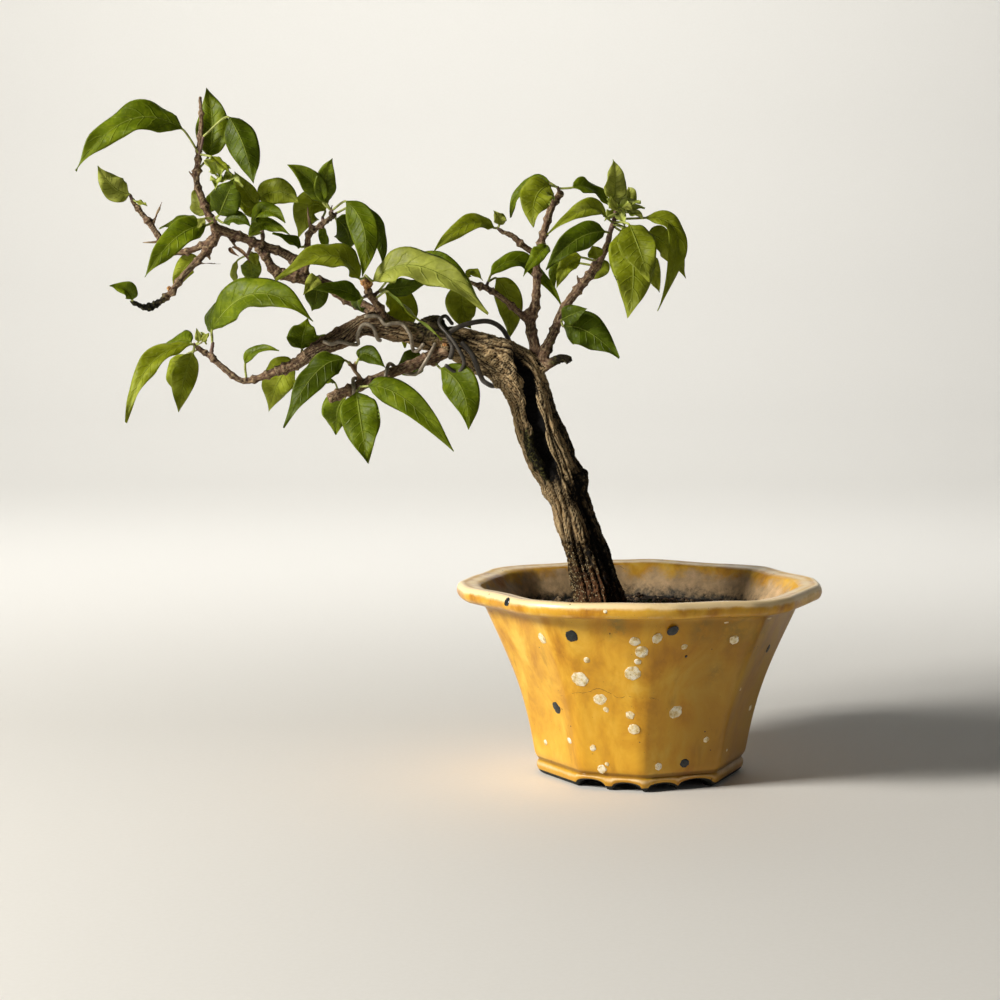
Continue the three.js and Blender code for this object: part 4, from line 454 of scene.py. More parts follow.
        [[-13.3, -7.2, 241.8], [2.3, -1, 237], [11, 5, 232], [20.1, 12, 218], 11.5, -90, 20, 8, 0.7],
        [[-13.6, -7.1, 240.8], [2.4, 0, 229.4], [5, 7, 221.4], [8.4, 13, 211.8], 7.5, -100, 5, 8, 0.8],
    ]],
    "spray_fork": [[[-21.8, -9, 224.6], [-21.8, -10.2, 226]], 0.9, 0.7, [
        [[-21.8, -10, 225.6], [-20.4, -11, 226.6], [-21.4, -11.6, 229.4], [-22.4, -12, 232],
         7.5, -95, 5, 20, 0.8],
        [[-22, -9.6, 225.2], [-27.2, -11, 227], [-33.2, -14, 223.8], [-37.8, -18, 213.8], 8, -90, 20, 8, 0.6],
    ]],
    "spray_fork_back": [[[-20, -2.6, 223.4], [-19.6, -0.6, 223.4]], 0.9, 0.6, [
        [[-19.7, -0.8, 223.4], [-17, 1.4, 226], [-18, 5, 222], [-22.2, 10, 217.6], 7.5, -90, 10, 8, 0.6],
        [[-19.9, -1.6, 223.4], [-34.6, 0, 224.6], [-38.4, 3, 220.6], [-38.2, 6, 214], 5.5, -70, 10, 5, 0.5],
    ]],
    "spray_low_right": [[[-36.4, -6.6, 199.4], [-35.4, -8, 199.6]], 0.9, 0.7, [
        [[-35.8, -7.4, 199.6], [-34.4, -9, 197.2], [-23.8, -13, 194.8], [-10.8, -17, 183.8],
         16, -90, 10, 6, 0.35],
        [[-36, -7.2, 199.6], [-35, -10.6, 200.4], [-30.8, -15, 202.6], [-24.8, -19, 205], 9, -90, 10, 8, 0.3],
    ]],
}

AGE_AND_LIGHT_STEPS = (0.38, 0.58, 0.86)  # the tone at which a leaf takes the mature, bright and young colours, partly how old it is and partly painted light
THIN_BLADE = 0.35  # thickness of withered and tender leaves


# ---- shapes ----
def smooth(value, low, high):
    """0 below low and 1 above high, with an eased step between."""
    t = min(max((value - low) / (high - low), 0), 1)
    return t * t * (3 - 2 * t)


def mix(a, b, share):
    """The value that lies a share of the way from a to b."""
    return a + (b - a) * share


class Line:
    """A smooth line through given points, followed by u from 0 to 1."""

    def __init__(self, points):
        p = [Vector(q) for q in points]
        self.spans = len(p) - 1
        self.points = [2 * p[0] - p[1], *p, 2 * p[-1] - p[-2]]

    def at(self, u):
        """The point at u, on a centripetal Catmull-Rom curve."""
        i = min(int(u * self.spans), self.spans - 1)
        w = u * self.spans - i
        p0, p1, p2, p3 = self.points[i:i + 4]
        d0, d1, d2 = (math.sqrt((b - a).length) for a, b in ((p0, p1), (p1, p2), (p2, p3)))
        m1 = d1 * ((p1 - p0) / d0 - (p2 - p0) / (d0 + d1) + (p2 - p1) / d1)
        m2 = d1 * ((p2 - p1) / d1 - (p3 - p1) / (d1 + d2) + (p3 - p2) / d2)
        return p1 + m1 * w + (3 * (p2 - p1) - 2 * m1 - m2) * w ** 2 + (2 * (p1 - p2) + m1 + m2) * w ** 3

    def along(self, u):
        """The line's direction at u."""
        return (self.at(min(u + 1e-3, 1)) - self.at(max(u - 1e-3, 0))).normalized()

    def length(self):
        """Its length, summed over 40 steps."""
        return sum((self.at((i + 1) / 40) - self.at(i / 40)).length for i in range(40))


class Limb(Line):
    """A line with a radius at each of its points. Angles go round it from the top to the front."""

    def __init__(self, points, radii, shape=lambda u, a: 1):
        super().__init__(points)
        self.radii, self.shape = radii, shape

    def radius(self, u):
        s = u * (len(self.radii) - 1)
        i = min(int(s), len(self.radii) - 2)
        return mix(self.radii[i], self.radii[i + 1], s - i)

    def across(self, u):
        """The directions along the limb, to its front and to its top."""
        t = self.along(u)
        front = Vector((0, -1, 0))
        front = (front - t * front.dot(t)).normalized()
        return t, front, t.cross(front).normalized()

    def out(self, u, a, distance):
        """The point at a distance from the middle line, at an angle round it."""
        _, front, up = self.across(u)
        return self.at(u) + (up * math.cos(a) + front * math.sin(a)) * distance

    def where(self, x):
        """The u at which the middle line passes nearest to an x."""
        return min((i / 400 for i in range(401)), key=lambda u: abs(self.at(u).x - x))


def channel_middle(u):
    """The angle of the trunk's deep channel, which turns towards the top of the bend."""
    return 1.8 - 2.6 * (u - 0.285) - 5.4 * max(0, u - 0.39)


def channel_reach(u):
    """How deep the channel is along the trunk, from 0 to 1."""
    return smooth(u, 0.25, 0.31) * (1 - smooth(u, 0.44, 0.49))


def trunk_shape(u, a):
    """Two fused strands with a deep channel down the front, and flutes all round."""
    channel = 0.42 * math.exp(-((a - channel_middle(u)) / 0.34) ** 2) * channel_reach(u)
    return 1 + 0.05 * math.sin(3 * a + 9 * u) + 0.035 * math.sin(7 * a - 14 * u) - channel


WOOD = {name: Limb(*spec, *([trunk_shape] if name == "trunk" else [])) for name, spec in LIMBS.items()}


def octagon(angle, cut=CORNER_CUT):
    """How far the soft octagon reaches at an angle from +X, as a share of its corner radius."""
    turn = (math.degrees(angle - FRONT) - CORNERS[0]) % 360 + CORNERS[0]
    low, high = next((c0, c1) for c0, c1 in zip(CORNERS, CORNERS[1:]) if turn < c1)
    side = cut * math.cos(math.radians(high - low) / 2) / math.cos(math.radians(turn - (low + high) / 2))
    soft = 0.005
    return min(1, side) - soft * math.exp(-abs(1 - side) / soft) * 0.35


def pot_radius(height):
    """Corner radius of the pot's outer wall at a height."""
    for (r0, z0, _), (r1, z1, _) in zip(POT_PROFILE[WALL:], POT_PROFILE[WALL + 1:]):
        if height <= z1:
            return mix(r0, r1, (height - z0) / (z1 - z0))
    return POT_PROFILE[LIP][0]


def squareness(height):
    """How far the sharp octagon stands past its corners: nearly round at the foot, sharp at the lip."""
    return mix(mix(FOOT_CUT, CORNER_CUT, smooth(height, 10, 70)), LIP_CUT, smooth(height, 72, 80))


def unevenness(angle, height):
    """Radius factor of the hand-thrown wall's slow ripple."""
    return 1 + 0.003 * noise.noise(Vector((math.cos(angle) * 2.2, math.sin(angle) * 2.2, height / 40)))


def on_wall(degrees, height, proud):
    """A point on the pot's outer wall and the wall's outward direction there."""
    a = math.radians(degrees) + FRONT

    def spot(angle, z):
        r = pot_radius(z) * octagon(angle, squareness(z)) * unevenness(angle, z)
        return Vector((r * math.cos(angle), r * math.sin(angle), z))

    here = spot(a, height)
    out = (spot(a + 0.01, height) - here).cross(spot(a, height + 0.3) - here).normalized()
    return here + out * proud, out


def uv_layer(bm):
    """The bmesh's UV layer, under the name that the materials read."""
    layers = bm.loops.layers.uv
    return layers.get("UVMap") or layers.new("UVMap")


def spin_round(bm, steps):
    """Turns an outline in the XZ plane once round the Z axis."""
    bmesh.ops.spin(bm, geom=bm.verts[:] + bm.edges[:], cent=(0, 0, 0), axis=(0, 0, 1),
                   angle=2 * math.pi, steps=steps, use_merge=True)
    bmesh.ops.remove_doubles(bm, verts=bm.verts[:], dist=1e-3)


def sweep(bm, around, along, place, slot=0):
    """Adds a closed tube. place(round, length) gives each point, both shares from 0 to 1."""
    uv_layer(bm)
    sheet = bmesh.ops.create_grid(bm, x_segments=around, y_segments=along, size=0.5, calc_uvs=True)["verts"]
    faces = list({face for vert in sheet for face in vert.link_faces})
    for vert in sheet:
        vert.co = place(min(max(vert.co.x + 0.5, 0), 1), min(max(vert.co.y + 0.5, 0), 1))
    for face in faces:
        face.material_index = slot
    bmesh.ops.remove_doubles(bm, verts=sheet, dist=1e-4)
    faces = [face for face in faces if face.is_valid]
    rims = list({edge for face in faces for edge in face.edges if edge.is_boundary})
    if rims:
        caps = bmesh.ops.holes_fill(bm, edges=rims, sides=0)["faces"]
        for face in caps:
            face.material_index = slot
            face.smooth = True
    return faces


def rod(bm, line, radius, around, along, slot=0):
    """Adds a round rod along a line; radius is a function of the share along it."""
    frames = []
    side = line.along(0).orthogonal().normalized()
    for i in range(along + 1):
        u = i / along
        t = line.along(u)
        side = (side - t * side.dot(t)).normalized()
        frames.append((line.at(u), side.copy(), t.cross(side), radius(u)))

    def place(turn, length):
        at, across, up, r = frames[round(length * along)]
        a = 2 * math.pi * turn
        return at + (across * math.cos(a) + up * math.sin(a)) * r

    return sweep(bm, around, along, place, slot)


def lump(bm, centre, sizes, detail, rough, seed=0, turn=None, slot=0):
    """Adds a small rounded lump, knobbly by the given share."""
    verts = bmesh.ops.create_icosphere(bm, subdivisions=detail, radius=1)["verts"]
    for vert in verts:
        n = noise.noise(vert.co * 1.7 + Vector((seed * 3.1, seed * 1.7, -seed)))
        vert.co = vert.co * (1 + rough * n)
    matrix = Matrix.Translation(centre) @ (turn or Matrix()) @ Matrix.Diagonal((*sizes, 1))
    bmesh.ops.transform(bm, matrix=matrix, verts=verts)
    for face in {face for vert in verts for face in vert.link_faces}:
        face.material_index = slot
    return verts


def facing(direction):
    """The turn that stands a shape's own Z along a direction."""
    return direction.to_track_quat("Z", "Y").to_matrix().to_4x4()


def finish_piece(bm, name, materials, nodes=(), recalculate=True):
    """Makes a bmesh in millimetres from the pot's axis a piece of the plant, standing for its nodes."""
    bm.transform(Matrix.Translation(AXIS) @ Matrix.Scale(MM, 4))
    if recalculate:
        bmesh.ops.recalc_face_normals(bm, faces=bm.faces[:])
    mesh = bpy.data.meshes.new(name)
    bm.to_mesh(mesh)
    bm.free()
    for material in materials:
        mesh.materials.append(material)
    mesh.shade_smooth()
    piece = bpy.data.objects.new(name, mesh)
    bpy.context.scene.collection.objects.link(piece)
    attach(piece, "root")
    if nodes:
        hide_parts(*nodes)
    return piece


# ---- materials ----
def linear(colour):
    """A colour written as #rrggbb, as the linear numbers that Blender works in. Others stay as they are."""
    if not isinstance(colour, str):
        return colour
    parts = [int(colour[i:i + 2], 16) / 255 for i in (1, 3, 5)]
    return tuple(c / 12.92 if c <= 0.04045 else ((c + 0.055) / 1.055) ** 2.4 for c in parts)


# what every node of a kind is set to here: colours are mixed, and numbers pass from one range to
# another with eased ends
SHARED_SETTINGS = {"Mix": {"data_type": "RGBA"}, "MapRange": {"interpolation_type": "SMOOTHSTEP"}}


def per_metre(size):
    """The scale of a pattern whose spots or cells are size millimetres across."""
    return 1 / (size * MM)


class Shader:
    """A material's node tree while a look fills it."""

    def __init__(self, tree):
        self.tree = tree
        self.place = self.add("TexCoord", out=3)

    def add(self, kind, *values, out=0, inputs=None, stops=(), **settings):
        """Adds a node with its settings and links, and returns one of its outputs.

        The values fill the node's inputs in order, counting only those that its settings leave open, and
        inputs gives others by name. stops are the (number, colour) pairs of a ramp.
        """
        node = self.tree.nodes.new("ShaderNode" + kind)
        for name, value in {**SHARED_SETTINGS.get(kind, {}), **settings}.items():
            setattr(node, name, value)
        given = list(zip([socket for socket in node.inputs if socket.enabled], values))
        given += [(node.inputs[name], value) for name, value in (inputs or {}).items()]
        for socket, value in given:
            if isinstance(value, bpy.types.NodeSocket):
                self.tree.links.new(value, socket)
            elif socket.type == "RGBA":
                socket.default_value = (*linear(value), 1)
            else:
                socket.default_value = value
        for i, (place, colour) in enumerate(stops):
            points = node.color_ramp.elements
            point = points[i] if i < len(points) else points.new(place)
            point.position = place
            point.color = (*linear(colour), 1)
        return [socket for socket in node.outputs if socket.enabled][out]

    def height(self):
        """Height over the table in millimetres."""
        return self.add("Math", self.add("SeparateXYZ", self.place, out=2), MM, operation="DIVIDE")

    def speckle(self, size, detail=3.0, roughness=0.55, stretch=(1, 1, 1), warp=0.0, where=None):
        """Cloudy spots about size millimetres across; stretch squeezes them on an axis."""
        spot = self.add("Mapping", where or self.place, inputs={"Scale": stretch})
        return self.add("TexNoise", spot, per_metre(size), detail, roughness, inputs={"Distortion": warp})


def paint(name, look):
    """Makes a material from a look, a function that fills a Shader and returns the surface's inputs.

    It may return two more: "relief", a list of (height, depth in millimetres), and "through", the colour
    and the share of the light that passes through a thin blade.
    """
    material = bpy.data.materials.new(name)
    material.use_nodes = True
    tree = material.node_tree
    tree.nodes.clear()
    s = Shader(tree)
    made = look(s)
    relief, through = made.pop("relief", ()), made.pop("through", None)
    shown = s.add("BsdfPrincipled", inputs=made)
    bumped = {}
    for height, depth in relief:
        sizes = {"Height": height, "Strength": 1.0, "Distance": depth * MM}
        bump = s.add("Bump", inputs={**sizes, **bumped})
        bumped = {"Normal": bump}
    if bumped:
        tree.links.new(bumped["Normal"], shown.node.inputs["Normal"])
    if through:
        colour, share = through
        glow = s.add("BsdfTranslucent", inputs={"Color": colour, **bumped})
        shown = s.add("MixShader", share, shown, glow)
    output = tree.nodes.new("ShaderNodeOutputMaterial")
    tree.links.new(shown, output.inputs[0])
    return material


def glaze_colour(s):
    """Colours of the honey-yellow glaze, and the mottling that they follow."""
    colours = bpy.context.scene.bonsai
    mottle = s.speckle(16, 5, 0.62, (1, 1, 0.55), 0.4)
    cloud = s.speckle(45, 3, 0.5, (1, 1, 0.7))
    base = s.add("ValToRGB", mottle, stops=[(0.34, "#a4690f"), (0.45, "#c78c1a"), (0.54, colours.glaze),
                                         (0.66, "#ebbf4a")])
    base = s.add("Mix", s.add("MapRange", cloud, 0.42, 0.68, 0, 0.45), base, "#e0ab33")
    streak = s.speckle(9, 4, 0.6, (1, 1, 0.16))
    base = s.add("Mix", s.add("MapRange", streak, 0.58, 0.74, 0, 0.4), base, "#94660f")
    return base, mottle


def glaze(s):
    """Honey-yellow glaze: mottled, thin and pale on the edges, with dark freckles and olive stains, a painted
    highlight on the lip's edge, and painted shade under the lip and on the right side.
    """
    height = s.height()
    wear, stain = (s.add("Attribute", out=2, attribute_name=name) for name in ("wear", "stain"))
    base, mottle = glaze_colour(s)
    # the glaze runs thin on the edges of the lip and the foot, and the pale clay shows through; on the lip's
    # top edge the pale is also a painted highlight
    fray = s.speckle(6, 5, 0.6)
    thin = s.add("MapRange", s.add("Math", fray, 0.7, wear, operation="MULTIPLY_ADD"), 0.5, 1.02)
    base = s.add("Mix", s.add("Math", thin, 0.9, operation="MULTIPLY"), base, "#ffe4b0")
    # painted shade: a band under the lip is darkened where the lip shades the wall; dust has stained the
    # shoulder, and the foot is darker towards the bottom
    under_lip_shade = s.add("Math", s.add("MapRange", height, 72, 76), s.add("MapRange", height, 80, 78),
                 operation="MULTIPLY")
    base = s.add("Mix", s.add("Math", under_lip_shade, 0.35, operation="MULTIPLY"), base, "#8a5f12")
    dirt = s.add("Math", stain, s.add("MapRange", s.speckle(6, 6, 0.7), 0.42, 0.62, 0, 0.75),
                 operation="MULTIPLY")
    base = s.add("Mix", dirt, base, "#6f6a33")
    dusty = s.add("Math", s.add("MapRange", s.speckle(22, 6, 0.7), 0.54, 0.72),
                  s.add("MapRange", height, 62, 85, 0.1, 0.25), operation="MULTIPLY")
    base = s.add("Mix", dusty, base, "#a08a45")
    foot = s.add("Math", s.add("MapRange", height, 12, 0, 0, 0.4), s.add("MapRange", mottle, 0.4, 0.62),
                 operation="MULTIPLY")
    base = s.add("Mix", foot, base, "#7f5b25")
    # the right side, away from the light, is painted browner and darker as shade
    side = s.add("Math", mottle, 0.03, s.add("SeparateXYZ", s.place), operation="MULTIPLY_ADD")
    right_side_shade = s.add("MapRange", side, AXIS.x + 0.012, AXIS.x + 0.045, 0, 0.62)
    right_side_shade = s.add("Math", right_side_shade, s.add("MapRange", height, 84, 74), operation="MULTIPLY")
    base = s.add("Mix", right_side_shade, base, "#8d6413")
    # the groove of the foot is darker, then freckles and pinholes
    off = s.add("Math", s.add("Math", height, 7.0, operation="SUBTRACT"), operation="ABSOLUTE")
    groove = s.add("MapRange", off, 1.5, 0.4, 0, 0.65)
    base = s.add("Mix", groove, base, "#5f3f0c")
    freckle = s.add("MapRange", s.add("TexVoronoi", s.place, per_metre(5.2)), 0.085, 0.05)
    rare = s.add("MapRange", s.speckle(14), 0.5, 0.56)
    base = s.add("Mix", s.add("Math", freckle, rare, operation="MULTIPLY"), base, "#3a2b17")
    pin = s.add("MapRange", s.add("TexVoronoi", s.place, per_metre(2.6)), 0.07, 0.04)
    base = s.add("Mix", s.add("Math", pin, 0.7, operation="MULTIPLY"), base, "#5b4117")
    rough = s.add("Math", mottle, dusty, operation="ADD")
    return {"Base Color": base, "Roughness": s.add("MapRange", rough, 0.4, 1.1, 0.3, 0.6),
            "Coat Weight": 0.12, "Coat Roughness": 0.1, "Specular IOR Level": 0.3,
            "relief": [(s.speckle(12, 3), 0.2), (s.speckle(1.3, 2), 0.02)]}


def bare_clay(s):
    """The inside of the pot: clay that the glaze thins out on, stained by damp soil."""
    height = s.height()
    grain = s.speckle(5, 6, 0.65)
    base = s.add("ValToRGB", grain, stops=[(0.3, "#9a825f"), (0.5, "#bd9e74"), (0.7, "#d8b68c")])
    honey, _ = glaze_colour(s)
    rise = s.add("Math", s.speckle(13, 5, 0.6), 22.0, height, operation="MULTIPLY_ADD")
    base = s.add("Mix", s.add("MapRange", rise, 88.5, 95), base, honey)
    rise = s.add("Math", s.speckle(3, 5, 0.7), 14.0, height, operation="MULTIPLY_ADD")
    base = s.add("Mix", s.add("MapRange", rise, 82.5, 75.5), base, "#171a12")
    return {"Base Color": base, "Roughness": s.add("MapRange", grain, 0.3, 0.7, 0.6, 0.92),
            "relief": [(grain, 0.35)]}


def white_slip(s):
    """Thick cream slip with brown pinholes and stains."""
    cloud = s.speckle(2.2, 4, 0.6)
    base = s.add("ValToRGB", cloud, stops=[(0.34, "#c2a15c"), (0.46, "#e3d09e"), (0.62, "#f5edd6")])
    spot = s.add("MapRange", s.add("TexVoronoi", s.place, per_metre(0.9)), 0.24, 0.14)
    base = s.add("Mix", s.add("Math", spot, 0.75, operation="MULTIPLY"), base, "#7d6030")
    return {"Base Color": base, "Roughness": s.add("MapRange", cloud, 0.3, 0.7, 0.5, 0.3),
            "Coat Weight": 0.15, "relief": [(cloud, 0.12)]}


def dark_slip(s):
    """Blue-black slip with a paler, greenish bloom."""
    cloud = s.speckle(1.6, 4, 0.65)
    base = s.add("ValToRGB", cloud, stops=[(0.36, "#05090c"), (0.54, "#0d181d"), (0.74, "#2a3936")])
    return {"Base Color": base, "Roughness": s.add("MapRange", cloud, 0.3, 0.7, 0.25, 0.45),
            "Coat Weight": 0.12, "relief": [(cloud, 0.1)]}


def old_dirt(s):
    """Dull brown dirt that shows where the glaze has cracked."""
    return {"Base Color": "#5a3f18", "Roughness": 0.8}


def damp_soil(s):
    """Damp, crumbly soil with paler grit in it."""
    colours = bpy.context.scene.bonsai
    crumb = s.speckle(2.4, 8, 0.72)
    base = s.add("ValToRGB", crumb, stops=[(0.3, "#0e0a08"), (0.5, colours.soil), (0.66, "#4a3728"),
                                        (0.8, "#6f5740")])
    chip = s.add("MapRange", s.add("TexVoronoi", s.place, per_metre(1.9)), 0.2, 0.12)
    rare = s.add("MapRange", s.speckle(9), 0.5, 0.62)
    base = s.add("Mix", s.add("Math", chip, rare, operation="MULTIPLY"), base, "#8b7456")
    return {"Base Color": base, "Roughness": 0.95, "relief": [(crumb, 0.9), (s.speckle(0.7), 0.2)]}


def grit(s):
    """Bark chips and fired clay grains, each a brown of its own."""
    tone = s.add("SeparateColor", s.add("TexVoronoi", s.place, per_metre(4), out=1))
    base = s.add("ValToRGB", tone, stops=[(0.1, "#1a120c"), (0.45, "#3a281a"), (0.75, "#5d4630"),
                                        (0.97, "#8f7a5c")])
    fine = s.speckle(0.8, 5, 0.7)
    base = s.add("Mix", s.add("MapRange", fine, 0.5, 0.75, 0, 0.5), base, "#a08a68")
    return {"Base Color": base, "Roughness": 0.92, "relief": [(fine, 0.3)]}


def bark(s):
    """Bark from its own attributes: grey-brown plates on the trunk, smoother purple-brown on twigs, with
    painted shade in fissures and hollows and painted highlights on ridges.
    """
    colours = bpy.context.scene.bonsai
    where = s.add("Attribute", out=1, attribute_name="fibre")
    girth, crevice, lichen, low, proud = (s.add("Attribute", out=2, attribute_name=name)
                                          for name in ("girth", "crevice", "lichen", "low", "proud"))
    streak = s.speckle(2.6, 6, 0.66, (1, 1, 0.17), 0.3, where)
    fine = s.speckle(0.9, 5, 0.7, (1, 1, 0.25), where=where)
    cloud = s.speckle(14, 4, 0.55)
    old = s.add("ValToRGB", streak, stops=[(0.28, "#22170d"), (0.42, "#584127"), (0.52, colours.bark),
                                         (0.64, "#b89a6c"), (0.78, "#d9c08f")])
    old = s.add("Mix", s.add("MapRange", cloud, 0.42, 0.66, 0, 0.5), old, "#63553c")
    patch = s.speckle(5, 6, 0.7)
    old = s.add("Mix", s.add("MapRange", patch, 0.53, 0.62, 0, 0.6), old, "#4a371f")
    young = s.add("ValToRGB", streak, stops=[(0.32, "#22160f"), (0.46, colours.twig), (0.6, "#775a45"),
                                           (0.76, "#b39a7d")])
    pale = s.add("MapRange", s.add("TexVoronoi", where, per_metre(1.5)), 0.2, 0.1)
    young = s.add("Mix", s.add("Math", pale, 0.5, operation="MULTIPLY"), young, "#b3a48c")
    base = s.add("Mix", s.add("MapRange", girth, 0.2, 0.75), young, old)
    base = s.add("Mix", s.add("MapRange", fine, 0.52, 0.7, 0, 0.5), base, "#c4a878")
    base = s.add("Mix", s.add("MapRange", fine, 0.49, 0.35, 0, 0.8), base, "#1d130a")
    # painted highlight on the convex ridges of the bark (proud)
    base = s.add("Mix", s.add("Math", proud, 0.6, operation="MULTIPLY"), base, "#d6bf93")
    # lichen: near-black granules with olive flecks
    fleck = s.add("TexVoronoi", s.place, per_metre(1.1))
    crumb = s.speckle(1.5, 5, 0.75)
    crust = s.add("ValToRGB", crumb, stops=[(0.4, "#0d0b07"), (0.5, "#2b2715"), (0.58, "#5d5a2c"),
                                          (0.7, "#9a9560")])
    base = s.add("Mix", lichen, base, crust)
    # the foot is stained by damp soil, reddish brown under dark moss with pale specks
    stain = s.add("ValToRGB", crumb, stops=[(0.38, "#0e0b06"), (0.48, "#3b2c17"), (0.56, "#6f5634"),
                                          (0.66, "#bba97f")])
    red = s.add("Math", s.add("MapRange", low, 0.8, 1), s.add("MapRange", cloud, 0.4, 0.6, 0, 0.8),
                operation="MULTIPLY")
    stain = s.add("Mix", red, stain, "#6b452a")
    stain = s.add("Mix", s.add("MapRange", fleck, 0.3, 0.18, 0, 0.85), stain, "#c9bd95")
    patchy = s.add("MapRange", s.add("Math", cloud, 1.2, low, operation="MULTIPLY_ADD"), 0.75, 1.1)
    base = s.add("Mix", patchy, base, stain)
    # painted shade: fissures, hollows, the deep channel and the right of the lower trunk go near-black, and
    # crusts darken too
    base = s.add("Mix", crevice, base, "#080605")
    return {"Base Color": base, "Roughness": s.add("MapRange", streak, 0.3, 0.7, 0.95, 0.8),
            "Specular IOR Level": 0.2,
            "relief": [(streak, 0.85), (fine, 0.4),
                       (s.add("Math", crumb, lichen, operation="MULTIPLY"), 0.8)]}


def wire_metal(colour):
    """Weathered aluminium wire, dulled and rubbed."""
    rubbed = tuple(min(c * 1.9, 1) for c in colour)
    dull = tuple(c * 0.45 for c in colour)

    def look(s):
        wear = s.speckle(3, 5, 0.65)
        base = s.add("Mix", s.add("MapRange", wear, 0.4, 0.66), colour, rubbed)
        base = s.add("Mix", s.add("MapRange", s.speckle(0.8), 0.56, 0.7, 0, 0.6), base, dull)
        return {"Base Color": base, "Roughness": s.add("MapRange", wear, 0.3, 0.7, 0.42, 0.6),
                "Metallic": 0.25, "relief": [(wear, 0.08)]}
    return look


def leaf_face(tone_step, under=False):
    """A leaf's upper or lower face at one tone step, partly how old the leaf is and partly painted light,
    with its midrib and side veins drawn along the blade.
    """
    def look(s):
        colours = bpy.context.scene.bonsai
        tone_colours = [colours.leaf_deep, colours.leaf_mature, colours.leaf_bright, colours.leaf_young]
        base = tone_colours[tone_step]
        light = tone_colours[min(tone_step + 1, 3)]
        dark = tuple(c * 0.6 for c in base)
        deepest = tuple(c * 0.45 for c in base)
        # across runs from 0 on the midrib to 1 on the margin, and along from the base to the tip
        uv = s.add("UVMap", uv_map="UVMap")
        across = s.add("Math", s.add("SeparateXYZ", uv), 2.0, -1.0, operation="MULTIPLY_ADD")
        across = s.add("Math", across, operation="ABSOLUTE")
        along = s.add("SeparateXYZ", uv, out=1)
        cloud = s.speckle(11, 3, 0.55)
        fleck = s.speckle(1.6, 4, 0.6)
        colour = s.add("Mix", s.add("MapRange", cloud, 0.36, 0.66), dark, base)
        colour = s.add("Mix", s.add("MapRange", cloud, 0.52, 0.74, 0, 0.5), colour, light)
        colour = s.add("Mix", s.add("MapRange", along, 0.55, 1.0, 0, 0.25), colour, light)
        colour = s.add("Mix", s.add("MapRange", fleck, 0.5, 0.3, 0, 0.5), colour, deepest)
        colour = s.add("Mix", s.add("MapRange", fleck, 0.52, 0.7, 0, 0.45), colour, light)
        # side veins leave the midrib and sweep towards the tip, with a fine net between them
        swept = s.add("Math", along, 8.0, operation="MULTIPLY")
        swept = s.add("Math", across, -1.25, swept, operation="MULTIPLY_ADD")
        wobble = s.add("Math", s.speckle(6, 1), 0.5, operation="MULTIPLY")
        rib = s.add("Math", s.add("Math", swept, wobble, operation="ADD"), 0.5, operation="PINGPONG")
        veins = s.add("Math", s.add("MapRange", rib, 0.11, 0.0),
                      s.add("MapRange", across, 0.98, 0.5, 0.1, 1), operation="MULTIPLY")
        reach = s.add("Math", along, -0.045, 0.075, operation="MULTIPLY_ADD")
        midrib = s.add("MapRange", across, reach, 0.01)
        cells = s.add("TexVoronoi", s.place, per_metre(1.7), feature="DISTANCE_TO_EDGE")
        net = s.add("MapRange", cells, 0.09, 0.0)
        vein_colour = "#b9c27a" if under else "#a3b046"
        if under:
            colour = s.add("Mix", 0.5, colour, "#84a052")
        for lines, strength in ((veins, 0.18), (net, 0.1), (midrib, 0.7)):
            colour = s.add("Mix", s.add("Math", lines, strength, operation="MULTIPLY"), colour, vein_colour)
        # a pale margin, painted as light glowing through the edge of the blade, then dry flecks and a few
        # brown spots
        colour = s.add("Mix", s.add("MapRange", across, 0.93, 1.0, 0, 0.55), colour, "#a9b548")
        colour = s.add("Mix", s.add("MapRange", fleck, 0.7, 0.8, 0, 0.5), colour, "#8d9a4a")
        spots = s.add("MapRange", s.add("TexVoronoi", s.place, per_metre(6.5)), 0.07, 0.04)
        spots = s.add("Math", spots, 0.6, operation="MULTIPLY")
        colour = s.add("Mix", spots, colour, "#5b4a1e")
        quilt = s.add("Math", s.add("Math", veins, 0.6, operation="MULTIPLY"), midrib, operation="ADD")
        return {"Base Color": colour,
                "Roughness": 0.6 if under else s.add("MapRange", fleck, 0.3, 0.7, 0.38, 0.52),
                "Specular IOR Level": 0.17,
                "through": ("#c3c928" if tone_step > 1 else "#98a51c", 0.31),
                "relief": [(s.add("Math", quilt, -1 if under else 1, operation="MULTIPLY"), 0.35),
                           (cloud, 0.9), (fleck, 0.16)]}
    return look


def mottled(size, detail, fray, depth, roughness, *stops, **more):
    """A look of one cloudy noise, which gives both the colour, by its stops, and the relief, by its depth."""
    def look(s):
        cloud = s.speckle(size, detail, fray)
        return {"Base Color": s.add("ValToRGB", cloud, stops=stops), "Roughness": roughness,
                "relief": [(cloud, depth)], **more}
    return look


# short moss, dark in its depths
MOSS = mottled(1.1, 5, 0.7, 0.6, 0.95, (0.32, "#14180b"), (0.5, "#2f3a16"), (0.7, "#66713a"))
# a leaf that is still opening: thin, downy and yellow-green, with the light coming through it
TENDER_LEAF = mottled(3, 4, 0.6, 0.3, 0.55, (0.34, "#8f9f3a"), (0.48, "#b3be58"), (0.66, "#cdd483"),
                      **{"Specular IOR Level": 0.2, "through": ("#cfd24a", 0.22)})
# young stems and leaf stalks: smooth yellow-green with brown clouds
GREEN_STALK = mottled(3, 4, 0.55, 0.1, 0.5, (0.32, "#6b5a2c"), (0.46, "#8d9440"), (0.64, "#b2ba62"))
# the foot of a leafy shoot: dull purple-brown with pale patches
WOODY_STEM = mottled(2, 5, 0.65, 0.2, 0.75, (0.32, "#3d2b24"), (0.5, "#6b5146"), (0.68, "#9a8672"))
